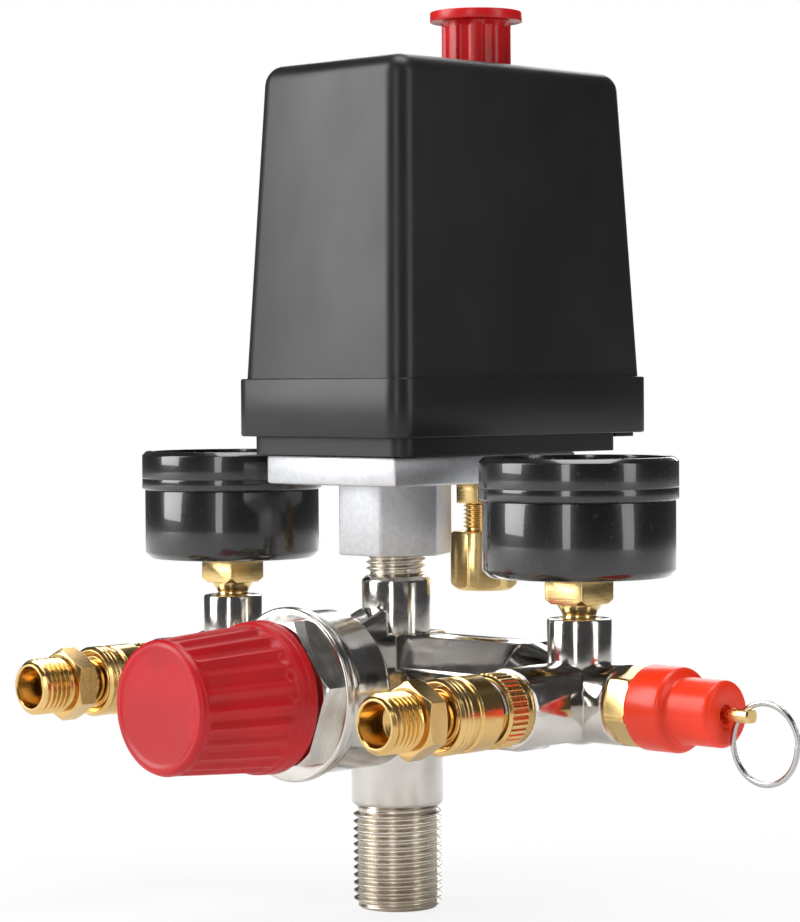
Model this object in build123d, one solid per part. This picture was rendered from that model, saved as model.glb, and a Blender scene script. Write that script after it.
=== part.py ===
"""Pressure switch for an air compressor, on its manifold with a regulator, two gauges,
two quick couplers and a safety valve.

Millimetres, +Z up. The origin is the centre of the bottom end of the inlet thread.
+X points to the safety valve, -Y to the regulator knob and the two outlets.
Threads are plain cylinders at their major diameter.
"""
import os
from math import cos, radians, sin, tan

from build123d import *

# ---- clearances ------------------------------------------------------------------
RUNNING = 0.07      # radial, a piece that turns or slides in its hole
SEATED = 0.05       # radial, a screwed or pushed-in piece that stays put
LOOSE = 0.5         # radial, a piece that passes through a hole without touching
NEAR = 0.12         # axial, between faces that meet when a piece reaches its stop
EDGE = 0.5          # bevel on a turned or moulded edge
FINE_EDGE = 0.3     # bevel on a small or thin edge

# ---- manifold --------------------------------------------------------------------
INLET_R = 10.4775   # G 1/2 male thread
INLET_LENGTH = 24.0
THREAD_RELIEF = 0.6
PIPE_CHAMFER = 1.2
PIPE_R = 10.9       # plain cast pipe above the thread
AXIS_Z = 53.0       # height of all the horizontal axes
ARM = 58.1          # upright axis to each tee's axis
ARM_FLATS = 24.6    # eight-sided arms, across flats
ARM_TAPER = 9.0     # length over which an arm narrows into its tee
ARM_END = 5.0       # end of that taper, short of the tee's axis
TEE_R = 9.0
TEE_SWELL = 0.9     # the ball at the tee's centre stands this far out of it
FRONT_PORT = 24.0   # upright axis plane to the face of each front port
SIDE_PORT = 13.9    # tee axis to the face of the safety valve's port
BLIND_END = 10.5    # tee axis to the closed end of the other tee
GAUGE_PORT_R = 7.25
GAUGE_PORT_Z = 71.5
NECK_PIPE_R = 8.1   # upper pipe
NECK_PIPE_Z = 78.7
NECK_R = 7.0        # thread that screws into the hub
NECK_SHOWN = 5.1
NECK_IN_HUB = 8.0
PORT_CHAMFER = 1.0
WEB_SINK = 1.0      # the web's foot, down inside the arms
WEB_RUN = 3.0
WEB_LOW = 2.0
WEB_HIGH = 6.0
BORE_R = 4.5
CROSS_BORE_R = 3.5
PORT_BORE_R = 3.0
FEED_BORE_R = 2.5   # from the regulated arm to the regulator's chamber
PORT_THREAD_R = 6.5785   # G 1/4
PORT_DEPTH = 10.0
THREAD_SHORT = 2.0  # screwed-in threads end this far short of their holes' ends
GAUGE_THREAD_R = 4.864   # G 1/8
GAUGE_THREAD_DEPTH = 9.0

# ---- regulator -------------------------------------------------------------------
CUP_R = 18.8
CUP_BACK = 21.0     # upright axis to the back of the cup
CUP_TAPER = 6.0
CUP_FLANGE_R = 19.5
CUP_FLANGE_T = 2.0
CUP_FACE = 32.6     # upright axis to the clamped face of the cup
BOSS_LAP = 1.2      # the cup's cone meets the boss this far outside its flats
CHAMBER_R = 14.0
CHAMBER_DEPTH = 6.0
DIAPHRAGM_T = 0.6
DIAPHRAGM_SHORT = 0.4   # its edge inside the cup's flange
DIAPHRAGM_PAD_R = 8.0
DIAPHRAGM_PAD_T = 1.0
VALVE_SEAT_R = 2.5
VALVE_SEAT_Y = 16.0
VALVE_SEAT_T = 2.0
POPPET_R = 3.4
POPPET_STEM_R = 1.0
POPPET_T = 1.6
BONNET_R = 20.1
BONNET_FLANGE_T = 2.2
BONNET_FLATS = 32.5
BONNET_HEX_T = 5.1
BONNET_CROWN = 1.4
BONNET_TURN = 21.0  # degrees the hexagon stands round from upright
SLEEVE_R = 13.2     # tube of the bonnet, inside the knob
SLEEVE_LENGTH = 19.5
SLEEVE_WALL = 1.9
SLEEVE_END = 2.0
SPINDLE_R = 3.0
SPINDLE_COLLAR_R = 5.0
SPINDLE_COLLAR_T = 1.4
SPINDLE_FLATS = 6.0
SPINDLE_HEAD = 7.5
SPINDLE_END = 6.0   # screw past the seat
SEAT_SET_BACK = 2.0
SEAT_T = 4.0
REGULATOR_WIRE_R = 1.1
KNOB_GAP = 1.8      # knob skirt to the bonnet's hexagon
KNOB_LENGTH = 31.9
KNOB_FRONT_R = 15.2
KNOB_REAR_R = 17.6
KNOB_SKIRT = 4.5
KNOB_STEP = 0.7     # skirt out of the fluted body
KNOB_NOSE = 1.2     # rounding of the front edge
KNOB_CROWN = 1.0    # solid past the spindle's head
KNOB_FLUTES = 24
FLUTE_R = 0.9
FLUTE_OUT = 0.4     # flute centres outside the body
FLUTE_START = 2.5   # behind the knob's face
FLUTE_END = 1.2     # in front of the skirt
KNOB_PULL = 3.0

# ---- quick couplers --------------------------------------------------------------
RING_T = 6.0        # knurled ring of the socket
RING_R = 8.35
RING_FOOT_R = 7.9
RING_FOOT_T = 1.0
SLEEVE_GAP = 2.4    # free space behind the sliding sleeve
COUPLER_SLEEVE_R = 8.35
COUPLER_SLEEVE_LENGTH = 12.8
COLLAR_LENGTH = 4.2
GROOVE_LENGTH = 2.0
GROOVE_R = 7.8
TUBE_R = 6.4        # socket tube under the sleeve
TUBE_SET_BACK = 0.7
SLEEVE_EDGE = 0.7
SLEEVE_MOUTH = 0.9   # sleeve's front room, round the tube
BALL_SET = 0.2      # that room ends this far in front of the balls
NOSE_R = 4.5
NOSE_LENGTH = 9.5
NOSE_GROOVE_R = 3.9
NOSE_GROOVE_W = 2.8
BALL_R = 1.2
BALL_COUNT = 6
BALL_BACK = 4.0     # sleeve's front face to the balls' centres
SPRING_ROOM_R = 7.4
SPRING_ROOM_LENGTH = 4.8
COUPLER_WIRE_R = 0.35
PLUG_NECK_R = 5.2
PLUG_GAP = 0.3      # plug's neck to the socket tube's face
NOSE_CHAMFER = 1.0
PLUG_NECK = 3.8     # bare neck in front of the sleeve
PLUG_FLATS = 15.0
PLUG_HEX_T = 5.4
PLUG_CROWN = 1.0    # how far the hexagon's corners are turned down
PLUG_THREAD = 9.1
PLUG_BORE_R = 2.5
PLUG_MOUTH_R = 4.75
PLUG_MOUTH_DEPTH = 8.0

# ---- safety valve ----------------------------------------------------------------
RELIEF_FLATS = 15.6
RELIEF_HEX_T = 6.3
RELIEF_THREAD = 8.0
RELIEF_INLET_R = 2.0
RELIEF_SEAT_IN = 1.8     # seat, inside the port's face
RELIEF_TUBE_R = 6.2
RELIEF_TUBE_LENGTH = 6.0
CAP_R = 9.4
CAP_LENGTH = 10.5
CAP_TIP_R = 7.3
CAP_TIP_LENGTH = 11.6
CAP_WALL = 3.4
CAP_RECESS_R = 2.05
CAP_RECESS = 2.0
CAP_SHOULDER = 1.0
CAP_EDGE = 0.8
STEM_R = 1.2
STEM_HEAD_R = 1.95
STEM_HEAD_LENGTH = 5.9
STEM_SHOWN = 0.8    # bare stem between the cap and its head
EYE_HALF = 1.35     # half thickness of the flattened eye
EYE_WIDTH = 1.7
EYE_SPARE = 0.45    # ends of the eye's slot clear of the ring's wire
STEM_HEAD_TAPER = 0.8
EYE_BACK = 0.25     # eye's centre behind the head's middle
RELIEF_POPPET_R = 3.6
RELIEF_POPPET_T = 2.2
RELIEF_WIRE_R = 0.4
PULL_RING_R = 8.65
PULL_WIRE_R = 0.6
PULL_DROOP = 40.0   # degrees the ring hangs below the stem's line

# ---- gauges ----------------------------------------------------------------------
GAUGE_NECK = 3.2    # tapered neck between port and wrench flats
WRENCH_SIDE = 11.0
WRENCH_T = 6.2
CASE_R = 21.7
CASE_H = 17.1
CASE_WALL = 1.0
CASE_FLOOR = 1.3
WRENCH_GAP = 0.3     # gauge neck's top past its thread
STEM_NARROWS = 1.2   # gauge neck's foot inside its thread
GAUGE_BORE_R = 1.2
POST_SIDE = 8.0
POST_H = 7.0
BEZEL_R = 22.4
BEZEL_H = 9.6
BEZEL_WALL = 1.0
BEZEL_EDGE = 0.8
BEZEL_LIP = 2.2
LENS_T = 1.6
LENS_DROP = 0.9
DIAL_T = 0.6
DIAL_SHORT = 0.2    # dial's edge inside the lens's
DIAL_Z = 0.4        # dial above the joint of case and bezel
ARBOR_R = 0.8
POINTER_LENGTH = 15.0
POINTER_TAIL = 5.0
POINTER_T = 0.5
POINTER_UP = 1.2    # blade above the dial
POINTER_TIP = 0.25  # half width at the tip
POINTER_ROOT = 1.1  # half width at the tail
POINTER_ZERO = -135.0   # degrees round from +X at no pressure
POINTER_HUB_R = 2.2
POINTER_HUB_T = 0.8
ARBOR_DEPTH = 5.0   # arbor's foot below the case's rim
PLATE_X = 7.0       # half sizes of the movement's plates
PLATE_Y = 5.0
PLATE_T = 1.0
PLATE_DOWN = 3.0    # top plate below the case's rim
PILLAR_R = 0.9
PILLAR_X = 6.0
PILLAR_Y = -4.0
TUBE_BEND_R = 14.0
BOURDON_R = 2.0
BOURDON_SWEEP = 250.0
BOURDON_START = -60.0   # degrees round from +X
BOURDON_UP = 1.0    # tube's middle above the post's

# ---- hub under the switch --------------------------------------------------------
HUB_FLATS = 24.0
HUB_HEX_T = 16.8
FLANGE_T = 7.0
FLANGE_HALF = 21.6
FLANGE_BACK = 40.0
HUB_PASSAGE_R = 3.0
RECESS_R = 15.0
RECESS_DEPTH = 4.0
SWITCH_DIAPHRAGM_T = 1.2
HUB_SCREW_R = 2.0
HUB_SCREW_HEAD_R = 3.4
HUB_SCREW_HEAD_T = 2.6
HUB_SCREW_SLOT = 0.9
SLOT_W = 1.0
HUB_SCREW_X = 16.0
HUB_SCREW_FRONT = -15.8
HUB_SCREW_BACK = 35.6

# ---- unloader valve --------------------------------------------------------------
UNLOADER_Y = 30.3
UNLOADER_FLATS = 12.0
UNLOADER_HEX_T = 5.7
UNLOADER_STUD_R = 3.9
UNLOADER_STUD_SHORT = 1.0   # the stud ends this far inside the flange
UNLOADER_AIRWAY = 1.0       # round the pin, below the guide
UNLOADER_NECK_R = 4.9
UNLOADER_NECK = 6.8
UNLOADER_NUT_FLATS = 14.0
UNLOADER_NUT_T = 14.4
UNLOADER_NUT_TURN = 15.0    # degrees
UNLOADER_NUT_CHAMFER = 1.6
UNLOADER_TUBE_R = 3.2
UNLOADER_TUBE_DEPTH = 12.0
UNLOADER_PIN_R = 1.5
UNLOADER_PIN_UP = 3.0       # the pin's foot above the hexagon's foot

# ---- switch housing --------------------------------------------------------------
BASE_WIDTH = 51.0
BASE_FRONT = -23.4
BASE_BACK = 51.8
BASE_FLOOR = 2.4
BASE_SHOWN = 4.3
BASE_LIP = 5.5      # how far the base stands up inside the collar
BASE_WALL = 2.0
BASE_CORNER = 4.0
COLLAR_WIDTH = 56.2
COLLAR_FRONT = -26.45
COLLAR_BACK = 60.9
COLLAR_H = 13.6
COLLAR_CORNER = 5.0
COVER_FOOT_WIDTH = 54.2
COVER_FOOT_DEPTH = 85.3
COVER_TOP_WIDTH = 47.35
COVER_TOP_DEPTH = 77.5
COVER_H = 73.9
COVER_CORNER = 5.0
COVER_TOP_EDGE = 4.5
COVER_WALL = 2.2
GLAND_FRONT = 52.0
GLAND_BACK = 58.4
GLAND_DROP = 1.0
GLAND_H = 9.0
GLAND_RIBS = 12
GLAND_GROOVE = 0.6
GLAND_INSET = 1.5   # each end of the strip, short of the base's sides
GROMMET_X = 13.0
GROMMET_UP = 13.0   # above the collar
GROMMET_R = 6.0
GROMMET_FLANGE_R = 7.6
GROMMET_FLANGE_T = 1.6
GROMMET_BORE_R = 4.0
GROMMET_PAD_R = 9.0
GROMMET_LENGTH = 6.5
PAD_PROUD = 0.3     # pads out of the hood's foot
PAD_DEPTH = 5.0
COVER_SCREW_Y = -9.0
COVER_SCREW_R = 2.0
COVER_SCREW_HEAD_R = 4.0
COVER_SCREW_HEAD_T = 2.2
COVER_WELL_R = 4.8         # well in the roof that hides the screw's head
COVER_WELL_DEPTH = 2.7
COVER_WELL_WALL = 1.6

# ---- on-off knob -----------------------------------------------------------------
BUTTON_Y = 28.7
BUTTON_R = 11.2
BUTTON_T = 2.4
BUTTON_DOME = 0.5
BUTTON_STEM_R = 8.4
BUTTON_SHOWN = 12.2
BUTTON_STEM_IN = 8.0
BUTTON_ROD_R = 3.5
BUTTON_TIP_R = 1.0
BUTTON_TIP_LENGTH = 5.0
BUTTON_RIBS = 8
BUTTON_GROOVE_R = 1.2
BUTTON_GROOVE_OUT = 0.4     # groove centres outside the stem
BUTTON_GROOVE_END = 1.5     # grooves stop short of the flange

# ---- switch works ----------------------------------------------------------------
FRAME_T = 1.5
FRAME_HALF = 20.0
FRAME_FRONT = -19.5
FRAME_BACK = 40.0
LUG_HALF = 5.0
BRIDGE_T = 3.0
BRIDGE_BACK = 6.0
CHEEK_X = 13.0      # inner face of each cheek
CHEEK_FRONT = -12.0
CHEEK_BACK = 22.0
BRIDGE_Z = 150.0
LUG_TOP = 165.0
LEVER_Z = 119.5
LEVER_PIVOT_Y = 14.0
LEVER_HALF = 12.0
LEVER_T = 3.0
LEVER_FRONT = -8.0
LEVER_BACK = 37.0
KNUCKLE_R = 3.2
PIN_R = 1.5
PIN_END = 0.8       # lever pin out of each cheek
PLUNGER_R = 4.0
PLUNGER_TIP_R = 1.0
PLUNGER_TIP_LENGTH = 2.0
PLUNGER_FOOT_R = 9.0
PLUNGER_FOOT_T = 1.5
RANGE_BOLT_R = 2.5
RANGE_CAP_R = 7.0
RANGE_CAP_T = 2.0
RANGE_SPRING_LENGTH = 17.0
RANGE_SPRING_R = 5.0
RANGE_WIRE_R = 0.9
RANGE_BOLT_UP = 22.0
RANGE_HEX_FLATS = 8.0
RANGE_HEX_T = 5.0
RANGE_NUT_T = 4.0
TRIP_Y = 8.0
TRIP_Z = 160.5
TRIP_T = 2.5
TRIP_BACK = 32.0
TRIP_HALF = 6.0
BLOCK_HALF = 22.0
BLOCK_FRONT = 27.0
BLOCK_COLUMN = 43.0
BLOCK_BACK = 49.0
BLOCK_FOOT = 132.0
BLOCK_TOP = 145.0
BRIDGE_BAR_Y = 34.0
POLE_X = (-17.0, -7.0, 7.0, 17.0)
STRIP_WIDTH = 5.0
STRIP_T = 1.2
TERMINAL_Y = 39.0
TERMINAL_R = 1.4
TERMINAL_HEAD_R = 2.4
TERMINAL_HEAD_T = 2.0
TERMINAL_DEPTH = 6.0
TERMINAL_SLOT = 0.8
STRIP_LAP = 3.0     # strip past its screw or contact
CONTACT_R = 1.5
CONTACT_T = 0.8
CARRIER_HALF = 4.0
CARRIER_DEPTH = 2.5
BAR_T = 2.0
BAR_HALF = 2.0
BAR_DROP = 1.0      # bar's top below its contacts

# ---- heights and places worked out from the sizes above --------------------------
HUB_Z = NECK_PIPE_Z + NECK_SHOWN
FLANGE_Z = HUB_Z + HUB_HEX_T
BASE_Z = FLANGE_Z + FLANGE_T
FLOOR_Z = BASE_Z + BASE_FLOOR
COLLAR_Z = BASE_Z + BASE_SHOWN
COVER_Z = COLLAR_Z + COLLAR_H
TOP_Z = COVER_Z + COVER_H
COVER_Y = (COLLAR_FRONT + COLLAR_BACK) / 2
CASE_Z = GAUGE_PORT_Z + GAUGE_NECK + WRENCH_T
CASE_TOP = CASE_Z + CASE_H
BEZEL_TOP = CASE_TOP + BEZEL_H
DIAPHRAGM_Z = BASE_Z - RECESS_DEPTH
LEVER_FACE = LEVER_Z - LEVER_T / 2
LEVER_TOP = LEVER_Z + LEVER_T / 2
CUP = -CUP_FACE                              # clamped face of the cup, along Y
BONNET = CUP - DIAPHRAGM_T                   # back face of the bonnet
HEX_FACE = BONNET - BONNET_FLANGE_T - BONNET_HEX_T
SLEEVE_FACE = HEX_FACE - SLEEVE_LENGTH
SLEEVE_BORE_R = SLEEVE_R - SLEEVE_WALL
COLLAR_SEAT = SLEEVE_FACE + SLEEVE_END + NEAR
SEAT_FACE = COLLAR_SEAT + SPINDLE_COLLAR_T + SEAT_SET_BACK
KNOB_REAR = HEX_FACE - KNOB_GAP
KNOB_FACE = KNOB_REAR - KNOB_LENGTH
RING_BACK = -FRONT_PORT - RING_FOOT_T
RING_FACE = RING_BACK - RING_T
SLEEVE_TAIL = RING_FACE - SLEEVE_GAP
SLEEVE_FRONT = SLEEVE_TAIL - COUPLER_SLEEVE_LENGTH
TUBE_FACE = SLEEVE_FRONT + TUBE_SET_BACK
BALL_Y = SLEEVE_FRONT + BALL_BACK
PLUG_HEX = SLEEVE_FRONT - PLUG_NECK
PLUG_SHOULDER = PLUG_HEX - PLUG_HEX_T
PLUG_FACE = PLUG_SHOULDER - PLUG_THREAD
NOSE_BACK = TUBE_FACE + NOSE_LENGTH
VALVE_X = ARM + SIDE_PORT
CAP_X = VALVE_X + RELIEF_HEX_T
TIP_X = CAP_X + CAP_LENGTH
CAP_END = TIP_X + CAP_TIP_LENGTH
HEAD_X = CAP_END + STEM_SHOWN
EYE_X = HEAD_X + STEM_HEAD_LENGTH / 2 - EYE_BACK
RELIEF_SEAT = VALVE_X - RELIEF_SEAT_IN

MIN_Z = (Align.CENTER, Align.CENTER, Align.MIN)
TURN = {"X": (0, 90, 0), "Y": (-90, 0, 0), "Z": (0, 0, 0)}
SIDES = (("left", -1), ("right", 1))
CENTRE = {"X": (0.0, AXIS_Z), "Y": (0.0, AXIS_Z), "Z": (0.0, 0.0)}


# ---- plain shapes along an axis --------------------------------------------------
def along(axis, start, across=None):
    """The place on a line parallel to an axis, with local Z pointing along it."""
    u, v = CENTRE[axis] if across is None else across
    spot = {"X": (start, u, v), "Y": (u, start, v), "Z": (u, v, start)}[axis]
    return Location(spot, TURN[axis])


def rod(axis, radius, start, end, across=None):
    return along(axis, start, across) * Cylinder(radius, end - start, align=MIN_Z)


def cone(axis, start_r, end_r, start, end, across=None):
    return along(axis, start, across) * Cone(start_r, end_r, end - start, align=MIN_Z)


def prism(axis, flats, sides, start, end, across=None, turn=0.0):
    """A bar with flat sides, sized across its flats."""
    outline = RegularPolygon(flats / 2, sides, major_radius=False, rotation=turn)
    return along(axis, start, across) * extrude(outline, end - start)


def turned(axis, steps, across=None):
    """A turned piece: steps are (place along the axis, radius) from end to end."""
    start, end = steps[0][0], steps[-1][0]
    line = [(0, start)] + [(r, a) for a, r in steps if r > 0] + [(0, end)]
    face = make_face(Plane.XZ * Polyline(*line, close=True))
    return along(axis, 0, across) * revolve(face, Axis.Z)


def block(x0, x1, y0, y1, z0, z1):
    size = (x1 - x0, y1 - y0, z1 - z0)
    return Location((x0, y0, z0)) * Box(*size, align=(Align.MIN,) * 3)


def spring(axis, mean_r, wire_r, start, end, turns, across=None):
    """A compression spring between two faces that it just clears."""
    height = end - start - 2 * wire_r - NEAR
    coil = Helix(height / turns, height, mean_r)
    wire = sweep(Plane(origin=coil @ 0, z_dir=coil % 0) * Circle(wire_r), path=coil)
    return along(axis, start + wire_r + NEAR / 2, across) * wire


def rounded_block(width, depth, corner, z0, z1, y_mid):
    outline = RectangleRounded(width, depth, corner)
    return Location((0, y_mid, z0)) * extrude(outline, z1 - z0)


def drafted_block(foot, top, corner, z0, z1, y_mid):
    """A block that narrows upwards; foot and top are (width, depth)."""
    low = Location((0, y_mid, z0)) * RectangleRounded(*foot, corner)
    high = Location((0, y_mid, z1)) * RectangleRounded(*top, corner)
    return loft([low.face(), high.face()])


# ---- manifold --------------------------------------------------------------------
def tee(side):
    """One tee of the manifold, with its port for a coupler and its port for a gauge."""
    x = side * ARM
    out = SIDE_PORT if side > 0 else BLIND_END
    shape = rod("Y", TEE_R, -FRONT_PORT, 0, (x, AXIS_Z))
    shape += rod("X", TEE_R, min(x, x + side * out), max(x, x + side * out))
    shape += rod("Z", GAUGE_PORT_R, AXIS_Z, GAUGE_PORT_Z, (x, 0))
    shape += Location((x, 0, AXIS_Z)) * Sphere(TEE_R + TEE_SWELL)
    near, far = side * (ARM - ARM_END - ARM_TAPER), side * (ARM - ARM_END)
    if side > 0:
        shape += cone("X", ARM_FLATS / 2, TEE_R, near, far)
    else:
        shape += cone("X", TEE_R, ARM_FLATS / 2, far, near)
    return shape


def manifold_cup():
    """The regulator's cup, on the front of the upright."""
    flange_back = -CUP_FACE + CUP_FLANGE_T
    boss_r = ARM_FLATS / 2 + BOSS_LAP
    shape = rod("Y", CUP_FLANGE_R, -CUP_FACE, flange_back)
    shape += rod("Y", CUP_R, flange_back, -CUP_BACK)
    shape += cone("Y", CUP_R, boss_r, -CUP_BACK, -CUP_BACK + CUP_TAPER)
    shape += prism("Y", ARM_FLATS, 8, -CUP_BACK, ARM_FLATS / 2, turn=22.5)
    bowl = rod("Y", CUP_R, -CUP_BACK, -PIPE_R)
    shape += bowl & block(-CUP_R, CUP_R, -CUP_FACE, 0, AXIS_Z - CUP_R, AXIS_Z - CUP_R / 2)
    return shape


def upright_rib():
    """The cast web between the cup's top and the upper pipe."""
    top = AXIS_Z + ARM_FLATS / 2
    foot = top - WEB_SINK
    step = (-CUP_BACK + WEB_RUN, top + WEB_LOW)
    corners = [(-CUP_BACK, foot), step, (-NECK_PIPE_R, top + WEB_HIGH), (0, foot)]
    web = make_face(Plane.YZ * Polyline(*corners, close=True))
    return extrude(web, NECK_PIPE_R / 2, both=True)


def manifold_bores():
    """All the drilled ways of the manifold, as one solid to cut away."""
    neck_top = HUB_Z + NECK_IN_HUB
    cut = rod("Z", BORE_R, 0, neck_top)
    cut += rod("X", CROSS_BORE_R, 0, VALVE_X)
    cut += rod("X", CROSS_BORE_R, -ARM, -CHAMBER_R + CROSS_BORE_R)
    feed = (-CHAMBER_R + CROSS_BORE_R, AXIS_Z)
    cut += rod("Y", FEED_BORE_R, -CUP_FACE, 0, feed)
    cut += rod("X", PORT_THREAD_R, VALVE_X - PORT_DEPTH, VALVE_X)
    for _, side in SIDES:
        x = side * ARM
        cut += rod("Y", PORT_THREAD_R, -FRONT_PORT, -FRONT_PORT + PORT_DEPTH, (x, AXIS_Z))
        cut += rod("Y", PORT_BORE_R, -FRONT_PORT, 0, (x, AXIS_Z))
        cut += rod("Z", GAUGE_THREAD_R, GAUGE_PORT_Z - GAUGE_THREAD_DEPTH, GAUGE_PORT_Z, (x, 0))
        cut += rod("Z", CROSS_BORE_R / 2, AXIS_Z, GAUGE_PORT_Z, (x, 0))
    cut += rod("Y", CHAMBER_R, -CUP_FACE, -CUP_FACE + CHAMBER_DEPTH)
    cut += rod("Y", VALVE_SEAT_R, -CUP_FACE, 0)
    cut += rod("Y", POPPET_R + LOOSE, -VALVE_SEAT_Y + VALVE_SEAT_T, 0)
    return cut


def manifold_body():
    neck_top = HUB_Z + NECK_IN_HUB
    shape = rod("Z", INLET_R, 0, INLET_LENGTH)
    shape += cone("Z", INLET_R - THREAD_RELIEF, PIPE_R, INLET_LENGTH - PIPE_CHAMFER, INLET_LENGTH)
    shape += rod("Z", PIPE_R, INLET_LENGTH, AXIS_Z)
    reach = ARM - ARM_END - ARM_TAPER
    shape += prism("X", ARM_FLATS, 8, -reach, reach, turn=22.5)
    shoulder = NECK_PIPE_Z - PORT_CHAMFER
    shape += rod("Z", NECK_PIPE_R, AXIS_Z, shoulder)
    shape += cone("Z", NECK_PIPE_R, NECK_PIPE_R - PORT_CHAMFER, shoulder, NECK_PIPE_Z)
    shape += rod("Z", NECK_R, NECK_PIPE_Z, neck_top)
    shape += manifold_cup()
    shape += upright_rib()
    for _, side in SIDES:
        shape += tee(side)
    return shape - manifold_bores()


# ---- hub and unloader valve ------------------------------------------------------
def slotted_screw(shank_r, head_r, foot, seat, top, place, depth, width):
    """A cheese-head screw with a slot across its head, upright at a place."""
    screw = rod("Z", shank_r, foot, seat, place) + rod("Z", head_r, seat, top, place)
    x, y = place
    half = width / 2
    return screw - block(x - head_r, x + head_r, y - half, y + half, top - depth, top)


def hub_screw_places():
    rows = (HUB_SCREW_FRONT, HUB_SCREW_BACK)
    return [(side * HUB_SCREW_X, y) for _, side in SIDES for y in rows]


def switch_hub():
    """Cast hexagon and flange that carry the switch on the manifold's neck."""
    shape = prism("Z", HUB_FLATS, 6, HUB_Z, FLANGE_Z, turn=30)
    shape += block(-FLANGE_HALF, FLANGE_HALF, -FLANGE_HALF, FLANGE_BACK, FLANGE_Z, BASE_Z)
    shape -= rod("Z", NECK_R + SEATED, HUB_Z, HUB_Z + NECK_IN_HUB + NEAR)
    shape -= rod("Z", HUB_PASSAGE_R, HUB_Z, BASE_Z)
    shape -= rod("Z", RECESS_R, DIAPHRAGM_Z, BASE_Z)
    shape -= rod("Z", UNLOADER_STUD_R + SEATED, FLANGE_Z, BASE_Z, (0, UNLOADER_Y))
    for place in hub_screw_places():
        shape -= rod("Z", HUB_SCREW_R + SEATED, FLANGE_Z, BASE_Z, place)
    return shape


def hub_screws():
    """Four screws that clamp frame and base to the hub."""
    seat = FLOOR_Z + FRAME_T
    sizes = (HUB_SCREW_R, HUB_SCREW_HEAD_R, FLANGE_Z, seat, seat + HUB_SCREW_HEAD_T)
    slot = (HUB_SCREW_SLOT, SLOT_W)
    return Compound([slotted_screw(*sizes, place, *slot) for place in hub_screw_places()])


def unloader_body():
    at = (0, UNLOADER_Y)
    hex_z = FLANGE_Z - UNLOADER_HEX_T
    neck_z = hex_z - UNLOADER_NECK
    shape = rod("Z", UNLOADER_STUD_R, FLANGE_Z, BASE_Z - UNLOADER_STUD_SHORT, at)
    shape += prism("Z", UNLOADER_FLATS, 6, hex_z, FLANGE_Z, at)
    shape += rod("Z", UNLOADER_NECK_R, neck_z, hex_z, at)
    shape -= rod("Z", UNLOADER_PIN_R + RUNNING, hex_z, BASE_Z, at)
    return shape - rod("Z", UNLOADER_PIN_R + UNLOADER_AIRWAY, neck_z, hex_z + UNLOADER_AIRWAY, at)


def unloader_nut():
    at = (0, UNLOADER_Y)
    top = FLANGE_Z - UNLOADER_HEX_T - UNLOADER_NECK
    foot = top - UNLOADER_NUT_T
    shape = prism("Z", UNLOADER_NUT_FLATS, 6, foot, top, at, turn=UNLOADER_NUT_TURN)
    corner = UNLOADER_NUT_FLATS / 2 / cos(radians(30))
    crown = [(foot, corner - UNLOADER_NUT_CHAMFER), (foot + UNLOADER_NUT_CHAMFER, corner), (top, corner)]
    shape &= turned("Z", crown, at)
    shape -= rod("Z", UNLOADER_TUBE_R, foot, foot + UNLOADER_TUBE_DEPTH, at)
    return shape - rod("Z", UNLOADER_PIN_R + UNLOADER_AIRWAY, foot, top, at)


def unloader_pin():
    at = (0, UNLOADER_Y)
    return rod("Z", UNLOADER_PIN_R, FLANGE_Z - UNLOADER_HEX_T + UNLOADER_PIN_UP, LEVER_FACE - NEAR, at)


# ---- switch housing --------------------------------------------------------------
def base_holes():
    cut = rod("Z", PLUNGER_R + LOOSE, BASE_Z, FLOOR_Z + FRAME_T)
    cut += rod("Z", UNLOADER_PIN_R + LOOSE, BASE_Z, FLOOR_Z + FRAME_T, (0, UNLOADER_Y))
    for place in hub_screw_places():
        cut += rod("Z", HUB_SCREW_R + SEATED, BASE_Z, FLOOR_Z + FRAME_T, place)
    return cut


def switch_base():
    """The tray that the works stand in; its wall stands up inside the collar."""
    depth = BASE_BACK - BASE_FRONT
    middle = (BASE_BACK + BASE_FRONT) / 2
    shape = rounded_block(BASE_WIDTH, depth, BASE_CORNER, BASE_Z, COLLAR_Z + BASE_LIP, middle)
    inner = (BASE_WIDTH - 2 * BASE_WALL, depth - 2 * BASE_WALL, BASE_CORNER - BASE_WALL)
    shape -= rounded_block(*inner, FLOOR_Z, COLLAR_Z + BASE_LIP, middle)
    return shape - base_holes()


def grommet_places():
    return [(side * GROMMET_X, COVER_Z + GROMMET_UP) for _, side in SIDES]


def pad_face():
    """The flat faces that the grommets bear on, behind the drafted rear wall."""
    return COVER_Y + COVER_FOOT_DEPTH / 2 + PAD_PROUD


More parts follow.
